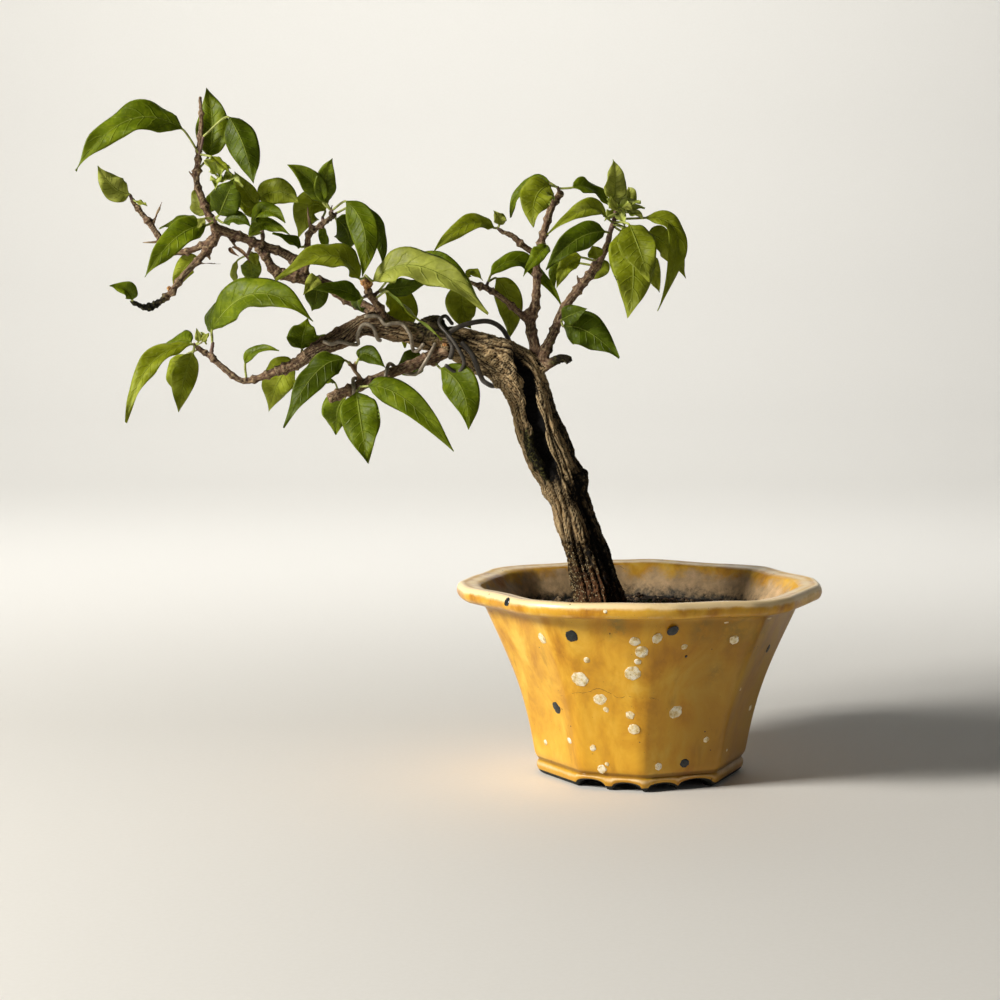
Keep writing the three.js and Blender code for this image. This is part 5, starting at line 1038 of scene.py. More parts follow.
# withered leaf: matt and brown, with a crumpled surface
DRY_SCRAP = mottled(1.4, 4, 0.6, 0.25, 0.8, (0.3, "#33200f"), (0.5, "#66462a"), (0.7, "#9a7a52"))
# papery scales round a bud, orange-brown with dark patches
BUD_SCALE = mottled(1.2, 4, 0.6, 0.3, 0.7, (0.32, "#4a2c14"), (0.48, "#9a6630"), (0.66, "#c69a5b"))


def plain_floor(s):
    """Matt studio board."""
    fine = s.speckle(2, 3)
    haze = s.add("MapRange", fine, 0.4, 0.6, 0, 0.04)
    return {"Base Color": s.add("Mix", haze, bpy.context.scene.bonsai.floor, "#ffffff"), "Roughness": 0.85}


# ---- sizes and colours ----
def shade(name, description, code):
    """A colour setting, whose default is written as #rrggbb."""
    return FloatVectorProperty(name=name, description=description, subtype="COLOR", size=3, min=0, max=1,
                               default=linear(code))


class BonsaiSettings(bpy.types.PropertyGroup):
    """Sizes and colours of the plant and its pot."""
    blade: FloatProperty(
        name="Leaf thickness", description="Thickness of a leaf blade", default=0.4 * MM, min=0.1 * MM,
        max=0.6 * MM, unit="LENGTH", precision=5)
    bark_grain: FloatProperty(
        name="Bark grain", description="Size of the smallest step in the bark", default=0.59 * MM,
        min=0.4 * MM, max=2 * MM, unit="LENGTH", precision=5)
    grit_count: IntProperty(
        name="Soil crumbs", description="How many loose crumbs lie on the soil", default=900, min=0, max=2000)
    moss_count: IntProperty(
        name="Moss tufts", description="How many moss tufts are strewn on the soil round the trunk",
        default=150, min=0, max=400)
    glaze: shade("Glaze", "Main colour of the glaze", "#daa42b")
    soil: shade("Soil", "Main colour of the damp soil", "#241a13")
    bark: shade("Bark", "Main colour of old bark", "#9f8159")
    twig: shade("Twig", "Main colour of young twigs", "#5f473b")
    wire: shade("Wire", "Colour of the training wire", "#3f3a34")
    # the wire on the branches is paler than the free loops: partly worn, and partly painted light where light
    # falls on it
    wire_worn_and_lit: shade("Worn wire", "Colour of the wire wound on the branches", "#7c7262")
    leaf_deep: shade("Deep leaf", "Upper face of an old leaf", "#4f6006")
    leaf_mature: shade("Mature leaf", "Upper face of a grown leaf", "#6d800a")
    leaf_bright: shade("Bright leaf", "Upper face of a fresh leaf", "#929c18")
    leaf_young: shade("Young leaf", "Upper face of a new leaf", "#b2b850")
    floor: shade("Floor", "Colour of the studio floor", "#e6e4de")


# ---- pot ----
class BONSAI_OT_pot(bpy.types.Operator):
    """Spin the glazed octagonal pot, cut its foot, and lay the dots of slip on it"""
    bl_idname = "bonsai.pot"
    bl_label = "Pot"

    def execute(self, context):
        outside = paint("honey_glaze", glaze)
        inside = paint("damp_clay", bare_clay)
        bm = bmesh.new()
        self.turn_outline(bm)
        self.mark_wear_and_highlight(bm)
        self.press_octagon(bm)
        self.cut_foot(bm)
        finish_piece(bm, "glazed_pot", [outside, inside], ["pot"], recalculate=False)
        self.dots("cream_dots", WHITE_DOTS, paint("cream_slip", white_slip))
        self.dots("blue_dots", BLUE_DOTS, paint("blue_slip", dark_slip))
        self.crack(paint("old_crack", old_dirt))
        return {"FINISHED"}

    def turn_outline(self, bm):
        """Spins the outline, with its corners eased, and tells the glazed faces from the bare ones."""
        chain = [bm.verts.new((r, 0, z)) for r, z, _ in POT_PROFILE]
        for a, b in zip(chain, chain[1:]):
            bm.edges.new((a, b))
        for vert, (_, _, ease) in zip(chain, POT_PROFILE):
            if ease:
                bmesh.ops.bevel(bm, geom=[vert], offset=ease, offset_type="OFFSET", segments=5, profile=0.5,
                                affect="VERTICES", material=-1)
        long = [e for e in bm.edges if e.calc_length() > 5]
        bmesh.ops.subdivide_edges(bm, edges=long, cuts=4)
        spin_round(bm, 320)
        bmesh.ops.recalc_face_normals(bm, faces=bm.faces[:])
        for face in bm.faces:
            middle = face.calc_center_median()
            outward = Vector((middle.x, middle.y, -30)).normalized()
            inner = 11 < middle.z < 83.2 and face.normal.dot(outward) < 0
            under = middle.z < 2.8 and face.normal.z < -0.5
            face.material_index = 1 if inner or under else 0

    def mark_wear_and_highlight(self, bm):
        """Keeps at each point how worn the glaze is, with the painted highlight on the lip's edge, and how
        stained.
        """
        wear, stain = bm.verts.layers.float.new("wear"), bm.verts.layers.float.new("stain")
        for vert in bm.verts:
            x, y, z = vert.co
            r, turn = math.hypot(x, y), math.degrees(math.atan2(y, x) - FRONT)
            vert[wear] = max(strength * math.exp(-((r - r0) ** 2 + (z - z0) ** 2) / reach ** 2)
                             for r0, z0, reach, strength in WORN_AND_LIT_EDGES)
            spots = []
            for degrees, height, reach in STAINS:
                beside = math.radians(math.remainder(turn - degrees, 360)) * r
                spots.append(math.exp(-(beside ** 2 + (z - height) ** 2) / reach ** 2))
            vert[stain] = max(spots)

    def press_octagon(self, bm):
        """Presses the round body into an octagon by hand, so that the lip bulges and wavers."""
        for vert in bm.verts:
            x, y, z = vert.co
            if math.hypot(x, y) > ON_AXIS:
                a = math.atan2(y, x)
                left = math.remainder(a - math.pi, 2 * math.pi)
                front = math.remainder(a - FRONT, 2 * math.pi)
                reach = octagon(a, squareness(z))
                ripple = unevenness(a, z)
                # the lip bulges on the left, rises at the front and wavers all round
                ripple += 0.02 * math.exp(-(left / 0.4) ** 2) * smooth(z, 74, 80)
                waver = 0.6 * noise.noise(Vector((math.cos(a) * 3, math.sin(a) * 3, 5)))
                waver += 1.2 * math.exp(-(front / 0.6) ** 2)
                lift = smooth(z, 70, 82) * waver
                # the underside of the lip is nearly level at the front
                lift += 2.9 * math.exp(-(front / 0.95) ** 2) * math.exp(-((z - 75.2) / 2.2) ** 2)
                vert.co = Vector((x * reach * ripple, y * reach * ripple, z + lift))

    def cut_foot(self, bm):
        """Cuts the arches in the foot; the band above each is pressed together to make room."""
        for vert in bm.verts:
            x, y, z = vert.co
            if z > 7 or math.hypot(x, y) < 35:
                continue
            for turn in (0, 180):
                for degrees, width, height in SCALLOPS:
                    a = math.radians(degrees + turn) + FRONT
                    off = -x * math.sin(a) + y * math.cos(a)
                    if x * math.cos(a) + y * math.sin(a) > 20 and abs(off) < width / 2:
                        cut = height * math.sqrt(1 - (off / (width / 2)) ** 2)
                        vert.co.z = max(z, cut + z * max(0, 1 - cut / 6.6))

    def dots(self, name, dots, material):
        """Flattened blobs of slip, each with an uneven edge."""
        proud, rough = 0.32, 0.18
        bm = bmesh.new()
        for i, (degrees, height, size) in enumerate(dots):
            centre, out = on_wall(degrees, height, 0.05)
            spin = facing(out) @ Matrix.Rotation(i * 1.3, 4, "Z")
            detail = 4 if size > 1.5 else 3
            verts = lump(bm, centre, (size * 1.05, size * 0.97, proud), detail, rough, i, spin)
            for vert in verts:
                off = vert.co - centre
                vert.co += (off - out * off.dot(out)) * 0.5 * rough * noise.noise(vert.co * 1.9)
        finish_piece(bm, name, [material])

    def crack(self, material):
        """A hairline across the front, and one in the back of the rim."""
        bm = bmesh.new()

        def width(u):
            return 0.075 * (0.5 + 0.5 * math.sin(math.pi * min(max(u, 0.03), 0.97)))

        rod(bm, Line([on_wall(degrees, z, 0.03)[0] for degrees, z in HAIRLINE]), width, 6, 120)
        rim = []
        for degrees, r, z in RIM_CRACK:
            a = math.radians(degrees) + FRONT
            rim.append((r * octagon(a, LIP_CUT) * math.cos(a), r * octagon(a, LIP_CUT) * math.sin(a), z))
        rod(bm, Line(rim), lambda u: 1.8 * width(u), 6, 60)
        for vert in bm.verts:
            slow, quick = Vector((vert.co.x * 0.5, 0, 2)), Vector((vert.co.x * 1.7, 0, 6))
            vert.co.z += 0.5 * noise.noise(slow) + 0.3 * noise.noise(quick)
        finish_piece(bm, "glaze_crack", [material])


# ---- soil ----
def soil_height(x, y):
    """Height of the uneven soil over a point."""
    r = math.hypot(x, y)
    mound = mix(72.4, 69.6, smooth(r, 10, 60)) + 1.4 * math.exp(-((x + 14) ** 2 + y ** 2) / 420)
    return mound + 0.9 * noise.noise(Vector((x / 9, y / 9, 3))) + 0.5 * noise.noise(Vector((x / 3, y / 3, 8)))


class BONSAI_OT_soil(bpy.types.Operator):
    """Fill the pot with crumbly soil"""
    bl_idname = "bonsai.soil"
    bl_label = "Soil"

    def execute(self, context):
        bm = bmesh.new()
        chain = [bm.verts.new((r, 0, z)) for r, z, _ in SOIL_PROFILE]
        edges = [bm.edges.new(pair) for pair in zip(chain, chain[1:])]
        bmesh.ops.subdivide_edges(bm, edges=edges[SOIL_TOP:], cuts=44)
        spin_round(bm, 220)
        for vert in bm.verts:
            x, y, z = vert.co
            reach = octagon(math.atan2(y, x)) if math.hypot(x, y) > ON_AXIS else 1
            top = z > 67 and math.hypot(x, y) < 61.7
            x, y = x * reach, y * reach
            vert.co = Vector((x, y, soil_height(x, y) if top else z))
        finish_piece(bm, "potting_soil", [paint("potting_soil", damp_soil)], ["soil"])
        self.crumbs(context.scene.bonsai.grit_count)
        return {"FINISHED"}

    def crumbs(self, count):
        """Loose grains, a quarter sunk in the soil."""
        rng = Random(11)
        bm = bmesh.new()
        for i in range(count):
            r, a = 59.5 * math.sqrt(rng.random()), rng.uniform(0, 2 * math.pi)
            r *= octagon(a)
            x, y = r * math.cos(a), r * math.sin(a)
            size = rng.choice((0.5, 0.7, 0.9, 1.2, 1.8))
            turn = facing(Vector((rng.uniform(-1, 1), rng.uniform(-1, 1), 1)))
            sizes = (size, size * rng.uniform(0.6, 1), size * rng.uniform(0.4, 0.8))
            lump(bm, (x, y, soil_height(x, y) + size * 0.25), sizes, 1, 0.6, i, turn)
        finish_piece(bm, "soil_crumbs", [paint("soil_crumbs", grit)])


# ---- wood ----
def hearts():
    """Points on the middle lines of all the wood, each with the wood's radius there."""
    found = [(limb.at(i / 60), limb.radius(i / 60)) for limb in WOOD.values() for i in range(61)]
    for start, end, r0, r1 in SPIKES:
        for u in (0, 0.2, 0.4, 0.6, 0.8, 0.95):
            found.append((Vector(start).lerp(Vector(end), u), mix(r0, r1, u)))
    return found


HEARTS = hearts()


def seat_of(point):
    """The heart of the wood nearest to a point, and the wood's radius there."""
    return min(HEARTS, key=lambda heart: (heart[0] - Vector(point)).length)


class BONSAI_OT_wood(bpy.types.Operator):
    """Grow the trunk, branches, knuckles and thorns as one, and carve the bark"""
    bl_idname = "bonsai.wood"
    bl_label = "Trunk and branches"

    def execute(self, context):
        bm = bmesh.new()
        for name, limb in WOOD.items():
            self.limb(bm, limb, 72 if name == "trunk" else 20)
        for centre, *sizes in KNUCKLES:
            lump(bm, centre, sizes, 3, 0.12)
        for start, end, r0, r1 in SPIKES:
            rod(bm, Line([start, end]), lambda u: mix(r0, r1, u), 28 if r0 > STOUT else 12, 16)
        for number, limb in enumerate(WOOD.values()):
            self.nodes(bm, limb, number)
        for stem, foot, *_ in SPRAYS.values():
            # the collar that a leafy shoot grows from
            heart, radius = seat_of(stem[0])
            out = (Vector(stem[0]) - heart).normalized()
            sizes = (foot * 1.35, foot * 1.35, foot * 1.5 + 0.4)
            lump(bm, heart + out * (radius * 0.75), sizes, 2, 0.1, 0, facing(out))
        bm = self.grown_together(context, bm)
        fields = self.carve(bm)
        wood = finish_piece(bm, "trunk_and_branches", [paint("bougainvillea_bark", bark)], ["wood"])
        for name, values in fields.items():
            kind = "FLOAT_VECTOR" if values.ndim == 2 else "FLOAT"
            data = wood.data.attributes.new(name, kind, "POINT").data
            data.foreach_set("vector" if values.ndim == 2 else "value", values.ravel().astype(np.float32))
        return {"FINISHED"}

    def limb(self, bm, limb, around):
        """Adds a limb in its own cross-section, a ring for each 0.8 mm."""
        along = max(8, int(limb.length() / 0.8))
        frames = [(limb.at(i / along), *limb.across(i / along), limb.radius(i / along))
                  for i in range(along + 1)]

        def place(turn, length):
            i = round(length * along)
            at, _, front, up, r = frames[i]
            a = 2 * math.pi * turn
            wide = r * limb.shape(i / along, math.remainder(a, 2 * math.pi))
            return at + (up * math.cos(a) + front * math.sin(a)) * wide

        sweep(bm, around, along, place)

    def nodes(self, bm, limb, number):
        """Adds the old leaf scars and dormant buds of a twig, each further round it than the last."""
        count = int(limb.length() / 6.2)
        for i in range(1, count):
            u = (i + 0.35 * math.sin(i * 5 + number)) / count
            r = limb.radius(u)
            if r < 2.9:
                a = 2.4 * i + number
                out = (limb.out(u, a, 1) - limb.at(u)).normalized()
                size = 0.6 + 0.4 * math.sin(i * 3.7 + number)
                bud = (0.75 + 0.4 * r * size, 0.75 + 0.4 * r * size, 1.0 + 0.6 * size)
                lump(bm, limb.out(u, a, r * 0.75), bud, 2, 0.4, i, facing(out))
                # the swollen node that the bud sits on
                swelling = (r + 0.45 + 0.4 * size, r + 0.45 + 0.4 * size, 1.2)
                lump(bm, limb.at(u), swelling, 3, 0.2, i, facing(limb.along(u)))

    def grown_together(self, context, bm):
        """The parts as one skin with even steps, smoothed where they meet."""
        mesh = bpy.data.meshes.new("wood_parts")
        bm.to_mesh(mesh)
        bm.free()
        raw = bpy.data.objects.new("wood_parts", mesh)
        context.scene.collection.objects.link(raw)
        joined = raw.modifiers.new("join", "REMESH")
        joined.mode, joined.voxel_size = "VOXEL", context.scene.bonsai.bark_grain / MM
        whole = bpy.data.meshes.new_from_object(raw.evaluated_get(context.evaluated_depsgraph_get()))
        bpy.data.objects.remove(raw)
        bm = bmesh.new()
        bm.from_mesh(whole)
        bpy.data.meshes.remove(whole)
        for _ in range(2):
            bmesh.ops.smooth_vert(bm, verts=bm.verts, factor=0.5, use_axis_x=True, use_axis_y=True,
                                  use_axis_z=True)
        bm.normal_update()
        return bm

    def samples(self):
        """Points along the middle lines of the limbs and the stout spikes.

        Each has its place, direction, front, up, radius, share of the limb, length along it, 1 on the
        trunk or a root and 0 elsewhere, and the limb's number.
        """
        found = []
        for number, (name, limb) in enumerate(WOOD.items()):
            count = max(8, int(limb.length() / 1.2))
            is_trunk = 1.0 if name == "trunk" else 0.0
            for i in range(count + 1):
                u = i / count
                found.append((limb.at(u), *limb.across(u), limb.radius(u), u, i * limb.length() / count,
                              is_trunk, number))
        for start, end, r0, r1 in SPIKES:
            if r0 > STOUT:
                down = (Vector(end) - Vector(start)).normalized()
                front = down.orthogonal().normalized()
                for i in range(9):
                    u = i / 8
                    found.append((Vector(start).lerp(Vector(end), u), down, front, down.cross(front),
                                  mix(r0, r1, u), 0.05, 20 * u, 1.0, len(found) - i))
        return found

    def carve(self, bm):
        """Moves the skin in along fissures, and returns what the bark's colours need at each point."""
        samples = self.samples()
        at, t, front, up = (np.array([s[i] for s in samples]) for i in range(4))
        radius, share, run, trunk, owner = (np.array([s[i] for s in samples]) for i in range(4, 9))
        skin = np.array([v.co for v in bm.verts])
        best = np.empty(len(skin), int)
        step = 4000
        for i in range(0, len(skin), step):
            gap = np.linalg.norm(skin[i:i + step, None] - at[None], axis=2) - radius
            best[i:i + step] = gap.argmin(axis=1)
        off = skin - at[best]
        # the length along the limb, taken between the samples on both sides so that bends stay smooth
        back = np.where(owner[best - 1] == owner[best], best - 1, best)
        ahead = np.minimum(best + 1, len(owner) - 1)
        ahead = np.where(owner[ahead] == owner[best], ahead, best)
        past, short = (((skin - at[i]) * t[i]).sum(axis=1) for i in (back, ahead))
        along = run[back] + (run[ahead] - run[back]) * past / np.maximum(past - short, 0.4)
        angle = np.arctan2((off * front[best]).sum(axis=1), (off * up[best]).sum(axis=1))
        girth, u, on_trunk = radius[best], share[best], trunk[best]
        fibre = np.stack([np.cos(angle) * girth, np.sin(angle) * girth, along], axis=1)
        stout = np.clip((girth - 2.4) / 5, 0, 1)
        crevice, lichen, char = (np.zeros(len(skin)) for _ in range(3))
        for i, vert in enumerate(bm.verts):
            x, y, z = vert.co
            f = Vector(fibre[i])
            long = Vector((f.x, f.y, f.z * 0.2))
            big = noise.noise(long * 0.23 + Vector((3, 1, 0)))
            fine = noise.noise(long * 0.8 + Vector((7, 0, 0)))
            crack = max(0, 1 - abs(big) * 6) * (0.75 + 0.5 * noise.noise(f * 0.12))
            small = max(0, 1 - abs(fine) * 5)
            thick = stout[i]
            inward = thick * (1.9 * crack + 0.7 * small) + (1 - thick) * 0.15 * small
            outward = thick * (1.5 * noise.noise(f * 0.11) + 0.7 * noise.noise(long * 0.4)
                               + 0.3 * noise.noise(f * 0.8))
            outward += (1 - thick) * 0.25 * noise.noise(f * 0.9)
            # a crust of lichen left of the channel, and the dark ones of stubs and knots
            if on_trunk[i] and y < 0:
                spread = math.hypot((x + 46 + (z - 141) * 0.4) / 5, (z - 141) / 12)
                lichen[i] = 1 - smooth(spread + 0.4 * noise.noise(f * 0.5), 0.85, 1.05)
            for crust_x, crust_z, inner, outer, strength in CRUSTS:
                gap = math.hypot(x - crust_x, z - crust_z) + 2 * noise.noise(f * 0.4)
                char[i] = max(char[i], strength * (1 - smooth(gap, inner, outer)))
            lichen[i] = max(lichen[i], char[i])
            channel = 0.0
            if on_trunk[i]:
                ragged = 0.2 * noise.noise(Vector((0, 4, f.z * 0.16))) + 0.16 * noise.noise(long * 0.7)
                turn = (angle[i] - channel_middle(u[i]) + ragged) / 0.29
                channel = math.exp(-turn ** 4) * channel_reach(u[i])
                # a second, shallower cleft runs down the right of the lower trunk
                cleft = math.exp(-((angle[i] - 0.8) / 0.16) ** 2) * smooth(u[i], 0.1, 0.17)
                cleft *= 1 - smooth(u[i], 0.26, 0.3)
                inward += 1.5 * cleft
                crack = max(crack, 0.8 * cleft)
                # the burl on the bend, ringed like an eye
                eye = math.hypot((x + 65) * 0.8, z - 181.5) if y < -2 else 20
                outward += 0.8 * (math.exp(-eye ** 2 / 22) * math.cos(eye * 1.5))
            # crusts of lichen, and of moss at the foot, are knobbly
            crusty = lichen[i] + np.clip((108 - z) / 14, 0, 1) * thick
            outward += 0.75 * crusty * noise.noise(f * 0.85 + Vector((5, 5, 5)))
            outward = outward * (1 - channel) - inward * (1 - 0.6 * lichen[i]) - 2.8 * channel
            vert.co += vert.normal * outward
            # the right of the lower trunk is painted near-black as shade, with a ragged edge
            black = 0.0
            if on_trunk[i] and -1.2 < angle[i] < 1.6:
                height = vert.co.z
                edge = mix(1.45, 0.5, smooth(height, 122, 142)) + 0.35 * noise.noise(long * 0.5)
                black = smooth(edge - angle[i], 0, 0.2) * smooth(angle[i], -1.2, -0.8)
                black *= (1 - smooth(height, 165, 176)) * (0.8 + 0.5 * noise.noise(f * 0.9))
            # painted shade: fissures, the deep channel and the shaded right side are darkened, and the crusts
            # a little too
            depth = thick * (0.95 * crack ** 1.5 + 0.35 * small ** 2 + black)
            crevice[i] = min(1, depth + 1.6 * channel + 0.55 * char[i] ** 2)
        bm.normal_update()
        hollow = np.array([
            sum((e.other_vert(v).co - v.co).dot(v.normal) for e in v.link_edges) / max(len(v.link_edges), 1)
            for v in bm.verts])
        # concave places are darkened too, as painted shade
        crevice = np.clip(crevice + np.clip(hollow * 6 - 0.12, 0, 0.85), 0, 1)
        low = np.clip((110 - skin[:, 2]) / 20, 0, 1) * np.clip((girth - 3) / 3, 0, 1)
        # convex places get a painted highlight
        proud = np.clip(-hollow * 6 - 0.1, 0, 1)
        return {"fibre": fibre * MM, "girth": stout, "crevice": crevice, "lichen": lichen, "low": low,
                "proud": proud}


# ---- wires ----
class BONSAI_OT_wires(bpy.types.Operator):
    """Wind the training wires on the trunk and the branches"""
    bl_idname = "bonsai.wires"
    bl_label = "Training wires"

    def execute(self, context):
        colours = context.scene.bonsai
        dark = paint("dark_aluminium_wire", wire_metal(tuple(colours.wire)))
        # the wound wire is painted paler, partly as wear and partly as painted light
        worn = paint("worn_and_lit_aluminium_wire", wire_metal(tuple(colours.wire_worn_and_lit)))
        for name, (radius, points) in FREE_WIRES.items():
            self.wire(name, Line(points), radius, dark)
        for name, (under, air, turns) in WOUND_WIRES.items():
            limb = WOOD[under]
            points = []
            for x, degrees in turns:
                u, a = limb.where(x), math.radians(degrees)
                points.append(limb.out(u, a, limb.radius(u) * limb.shape(u, a) + FINE_WIRE + air))
            self.wire(name, Line(points), FINE_WIRE, worn)
        return {"FINISHED"}

    def wire(self, name, line, radius, material):
        """A round wire with cut ends, thinned a little where the pliers gripped it."""
        bm = bmesh.new()
        length = line.length()

        def size(u):
            end = min(u, 1 - u) * length
            dents = 1 + 0.02 * noise.noise(Vector((u * 40, 0, 0)))
            return radius * (0.72 + 0.28 * smooth(end, 0, 0.5)) * dents

        rod(bm, line, size, 20, max(60, int(length / 0.6)))
        finish_piece(bm, name.replace("wire_", "training_wire_"), [material], [name])


# ---- leaves ----
def blade_share(s):
    """Half width of a blade along its midrib, as a share of its full half width."""
    body = math.sin(math.pi * s ** 0.72) ** 0.85 if 0 < s < 1 else 0
    return max(body * (1 - 0.2 * smooth(s, 0.78, 1)), 0.02)


def leaf(bm, spec, slots, thickness, seed, waved=1.0):
    """Adds a leaf: a round stalk that runs into a folded, veined and slightly waved blade.

    spec goes from the root to the lift, as in SPRAYS. slots are the materials of the upper face, the
    lower face and the stalk, and waved is how strongly the margins wave.
    """
    root, base, crest, tip, width, azimuth, elevation, lift = spec
    start, b, c, t = (Vector(p) for p in (root, base, crest, tip))
    control = 2 * c - (b + t) / 2
    az, el = math.radians(azimuth), math.radians(elevation)
    face = Vector((math.cos(az) * math.cos(el), math.sin(az) * math.cos(el), math.sin(el)))
    rng = Random(seed)
    waves = [(rng.uniform(0.7, 1.5), rng.uniform(1.2, 2.6), rng.uniform(0, 6.3)) for _ in range(2)]
    twist = math.radians(rng.uniform(-7, 7))
    uneven = rng.uniform(-0.05, 0.05)
    small = width < 4
    stalk = 0.4 if small else 0.5
    rows, stalk_rows, around = (14, 5, 16) if small else (28, 7, 26)
    lifted = math.radians(lift)
    # a frame for each row: its middle, its direction, the share along the blade, and how flat it is
    frames = []
    m0 = (b - start) * 0.9
    m1 = (control - b).normalized() * (b - start).length * 0.7
    for i in range(stalk_rows):
        w = i / stalk_rows
        at = (start * (2 * w ** 3 - 3 * w ** 2 + 1) + m0 * (w ** 3 - 2 * w ** 2 + w)
              + b * (3 * w ** 2 - 2 * w ** 3) + m1 * (w ** 3 - w ** 2))
        slope = (start * (6 * w ** 2 - 6 * w) + m0 * (3 * w ** 2 - 4 * w + 1)
                 + b * (6 * w - 6 * w ** 2) + m1 * (3 * w ** 2 - 2 * w)).normalized()
        frames.append((at, slope, 0.0, 0.0))
    for i in range(rows + 1):
        s = i / rows
        at = b * (1 - s) ** 2 + control * 2 * s * (1 - s) + t * s ** 2
        slope = ((control - b) * (1 - s) + (t - control) * s).normalized()
        frames.append((at, slope, s, smooth(s, -0.04, 0.07)))
    total = len(frames) - 1

    def place(turn, length):
        at, slope, s, flat = frames[round(length * total)]
        normal = (face - slope * face.dot(slope)).normalized()
        side = slope.cross(normal)
        if twist * s:
            normal, side = (normal * math.cos(twist * s) + side * math.sin(twist * s),
                            side * math.cos(twist * s) - normal * math.sin(twist * s))
        a = 2 * math.pi * turn
        upper = turn <= 0.5
        even = 1 - 4 * turn if upper else 4 * turn - 3
        # k runs across the blade from -1 to 1
        k = mix(math.cos(a), even, flat)
        bend, count, phase = waves[0 if k > 0 else 1]
        half = max(width / 2 * blade_share(s) * (1 + (uneven if k > 0 else -uneven)), 0.12)
        half = mix(stalk, max(half, stalk * (1 - s)), flat)
        # the fold at the midrib, the cupping, the waves of the margin and the ribs raise the blade
        rise = (math.sqrt(k * k + 0.01) - 0.1) * half * math.sin(lifted) * flat
        rise += 0.07 * half * math.sin(math.pi * min(abs(k), 1)) * flat * (1 if lift >= 0 else -1)
        swell = math.sin(2 * math.pi * count * s + phase)
        rise += flat * waved * width * 0.06 * bend * k * k * swell * smooth(s, 0, 0.2)
        rise += flat * width * 0.012 * k ** 4 * math.sin(2 * math.pi * (3.1 + count) * s + 2 * phase)
        ribs = math.cos(2 * math.pi * (8 * s - 1.25 * abs(k))) * smooth(abs(k), 0.08, 0.3) * (1 - k * k)
        rise += flat * 0.07 * ribs * min(1, width / 10)
        edge = math.sin(a)
        if flat >= 1e-6:
            edge = mix(edge, (1 if upper else -1) * (1 - even ** 6), flat)
        depth = mix(stalk, thickness / 2, smooth(s, 0, 0.16) if flat else 0)
        # a crease runs down the upper face, and a keel down the lower one
        keel = crease = 0
        if upper:
            crease = -flat * 0.34 * (1 - s) * math.exp(-(k * half / 0.45) ** 2) * smooth(s, 0, 0.1)
        else:
            keel = -flat * 0.34 * (1 - 0.85 * s) * math.exp(-(k * half / 0.5) ** 2)
        height = rise + edge * depth + keel + crease
        return at + side * (k * half * math.cos(lifted * flat)) + normal * height

    faces = sweep(bm, around, total, place, slots[2])
    uv = uv_layer(bm)
    for each in faces:
        turn = sum(loop[uv].uv.x for loop in each.loops) / len(each.loops)
        row = sum(loop[uv].uv.y for loop in each.loops) / len(each.loops) * total
        if row > stalk_rows + 0.2:
            each.material_index = slots[0] if turn < 0.5 else slots[1]
        for loop in each.loops:
            q, v = loop[uv].uv
            k = 1 - 4 * q if q <= 0.5 else 4 * q - 3
            loop[uv].uv = ((k + 1) / 2, max(0, v * total - stalk_rows) / rows)


class BONSAI_OT_leaves(bpy.types.Operator):
    """Put every leafy shoot on the branches"""
    bl_idname = "bonsai.leaves"
    bl_label = "Leafy shoots"

    def execute(self, context):
        tones = ("deep", "mature", "bright", "young")
        looks = [paint(f"{tone}_leaf_face", leaf_face(i)) for i, tone in enumerate(tones)]
        looks += [paint("dark_leaf_back", leaf_face(1, True)), paint("pale_leaf_back", leaf_face(2, True))]
        looks += [paint("green_stalk", GREEN_STALK), paint("woody_stem", WOODY_STEM)]
        dark_back, pale_back, stalk_look, stem_look = range(4, 8)
        thickness = context.scene.bonsai.blade / MM
        for number, (name, (stem, foot, tip, leaves)) in enumerate(SPRAYS.items()):
            bm = bmesh.new()
            heart, radius = seat_of(stem[0])
            whole = Line([heart, *stem] if len(stem) > 2 else [heart, stem[-1]])
            # the stem starts half a millimetre inside the bark
            start = next((i / 80 for i in range(81) if (whole.at(i / 80) - heart).length > radius - 0.5), 0.5)
            points = [whole.at(mix(start, 1, i / 12)) for i in range(13)]
            lone = len(leaves) == 1
            if not lone:
                def size(u):
                    knots = 0.14 * math.cos(u * 2 * math.pi * max(3, len(stem))) * (1 - u)
                    return mix(foot, tip, u) * (1 + knots) * (0.35 + 0.65 * smooth(1 - u, 0, 0.1))

                rod(bm, Line(points), size, 12, 36, stem_look)
            along = [whole.at(i / 40) for i in range(41)]
            for i, (root, *shape, youth_and_light) in enumerate(leaves):
                seat = points[0] if lone else min(along, key=lambda p: (p - Vector(root)).length)
                # the tone picks the colour, partly for how young the leaf is and partly as painted light
                tone_step = sum(youth_and_light >= step for step in AGE_AND_LIGHT_STEPS)
                slots = (tone_step, dark_back if tone_step < 2 else pale_back, stalk_look)
                leaf(bm, (seat, *shape), slots, thickness, number * 20 + i, 1.3 + 0.9 * youth_and_light ** 2)
            finish_piece(bm, name.replace("spray_", "leafy_shoot_"), looks, [name])
        return {"FINISHED"}


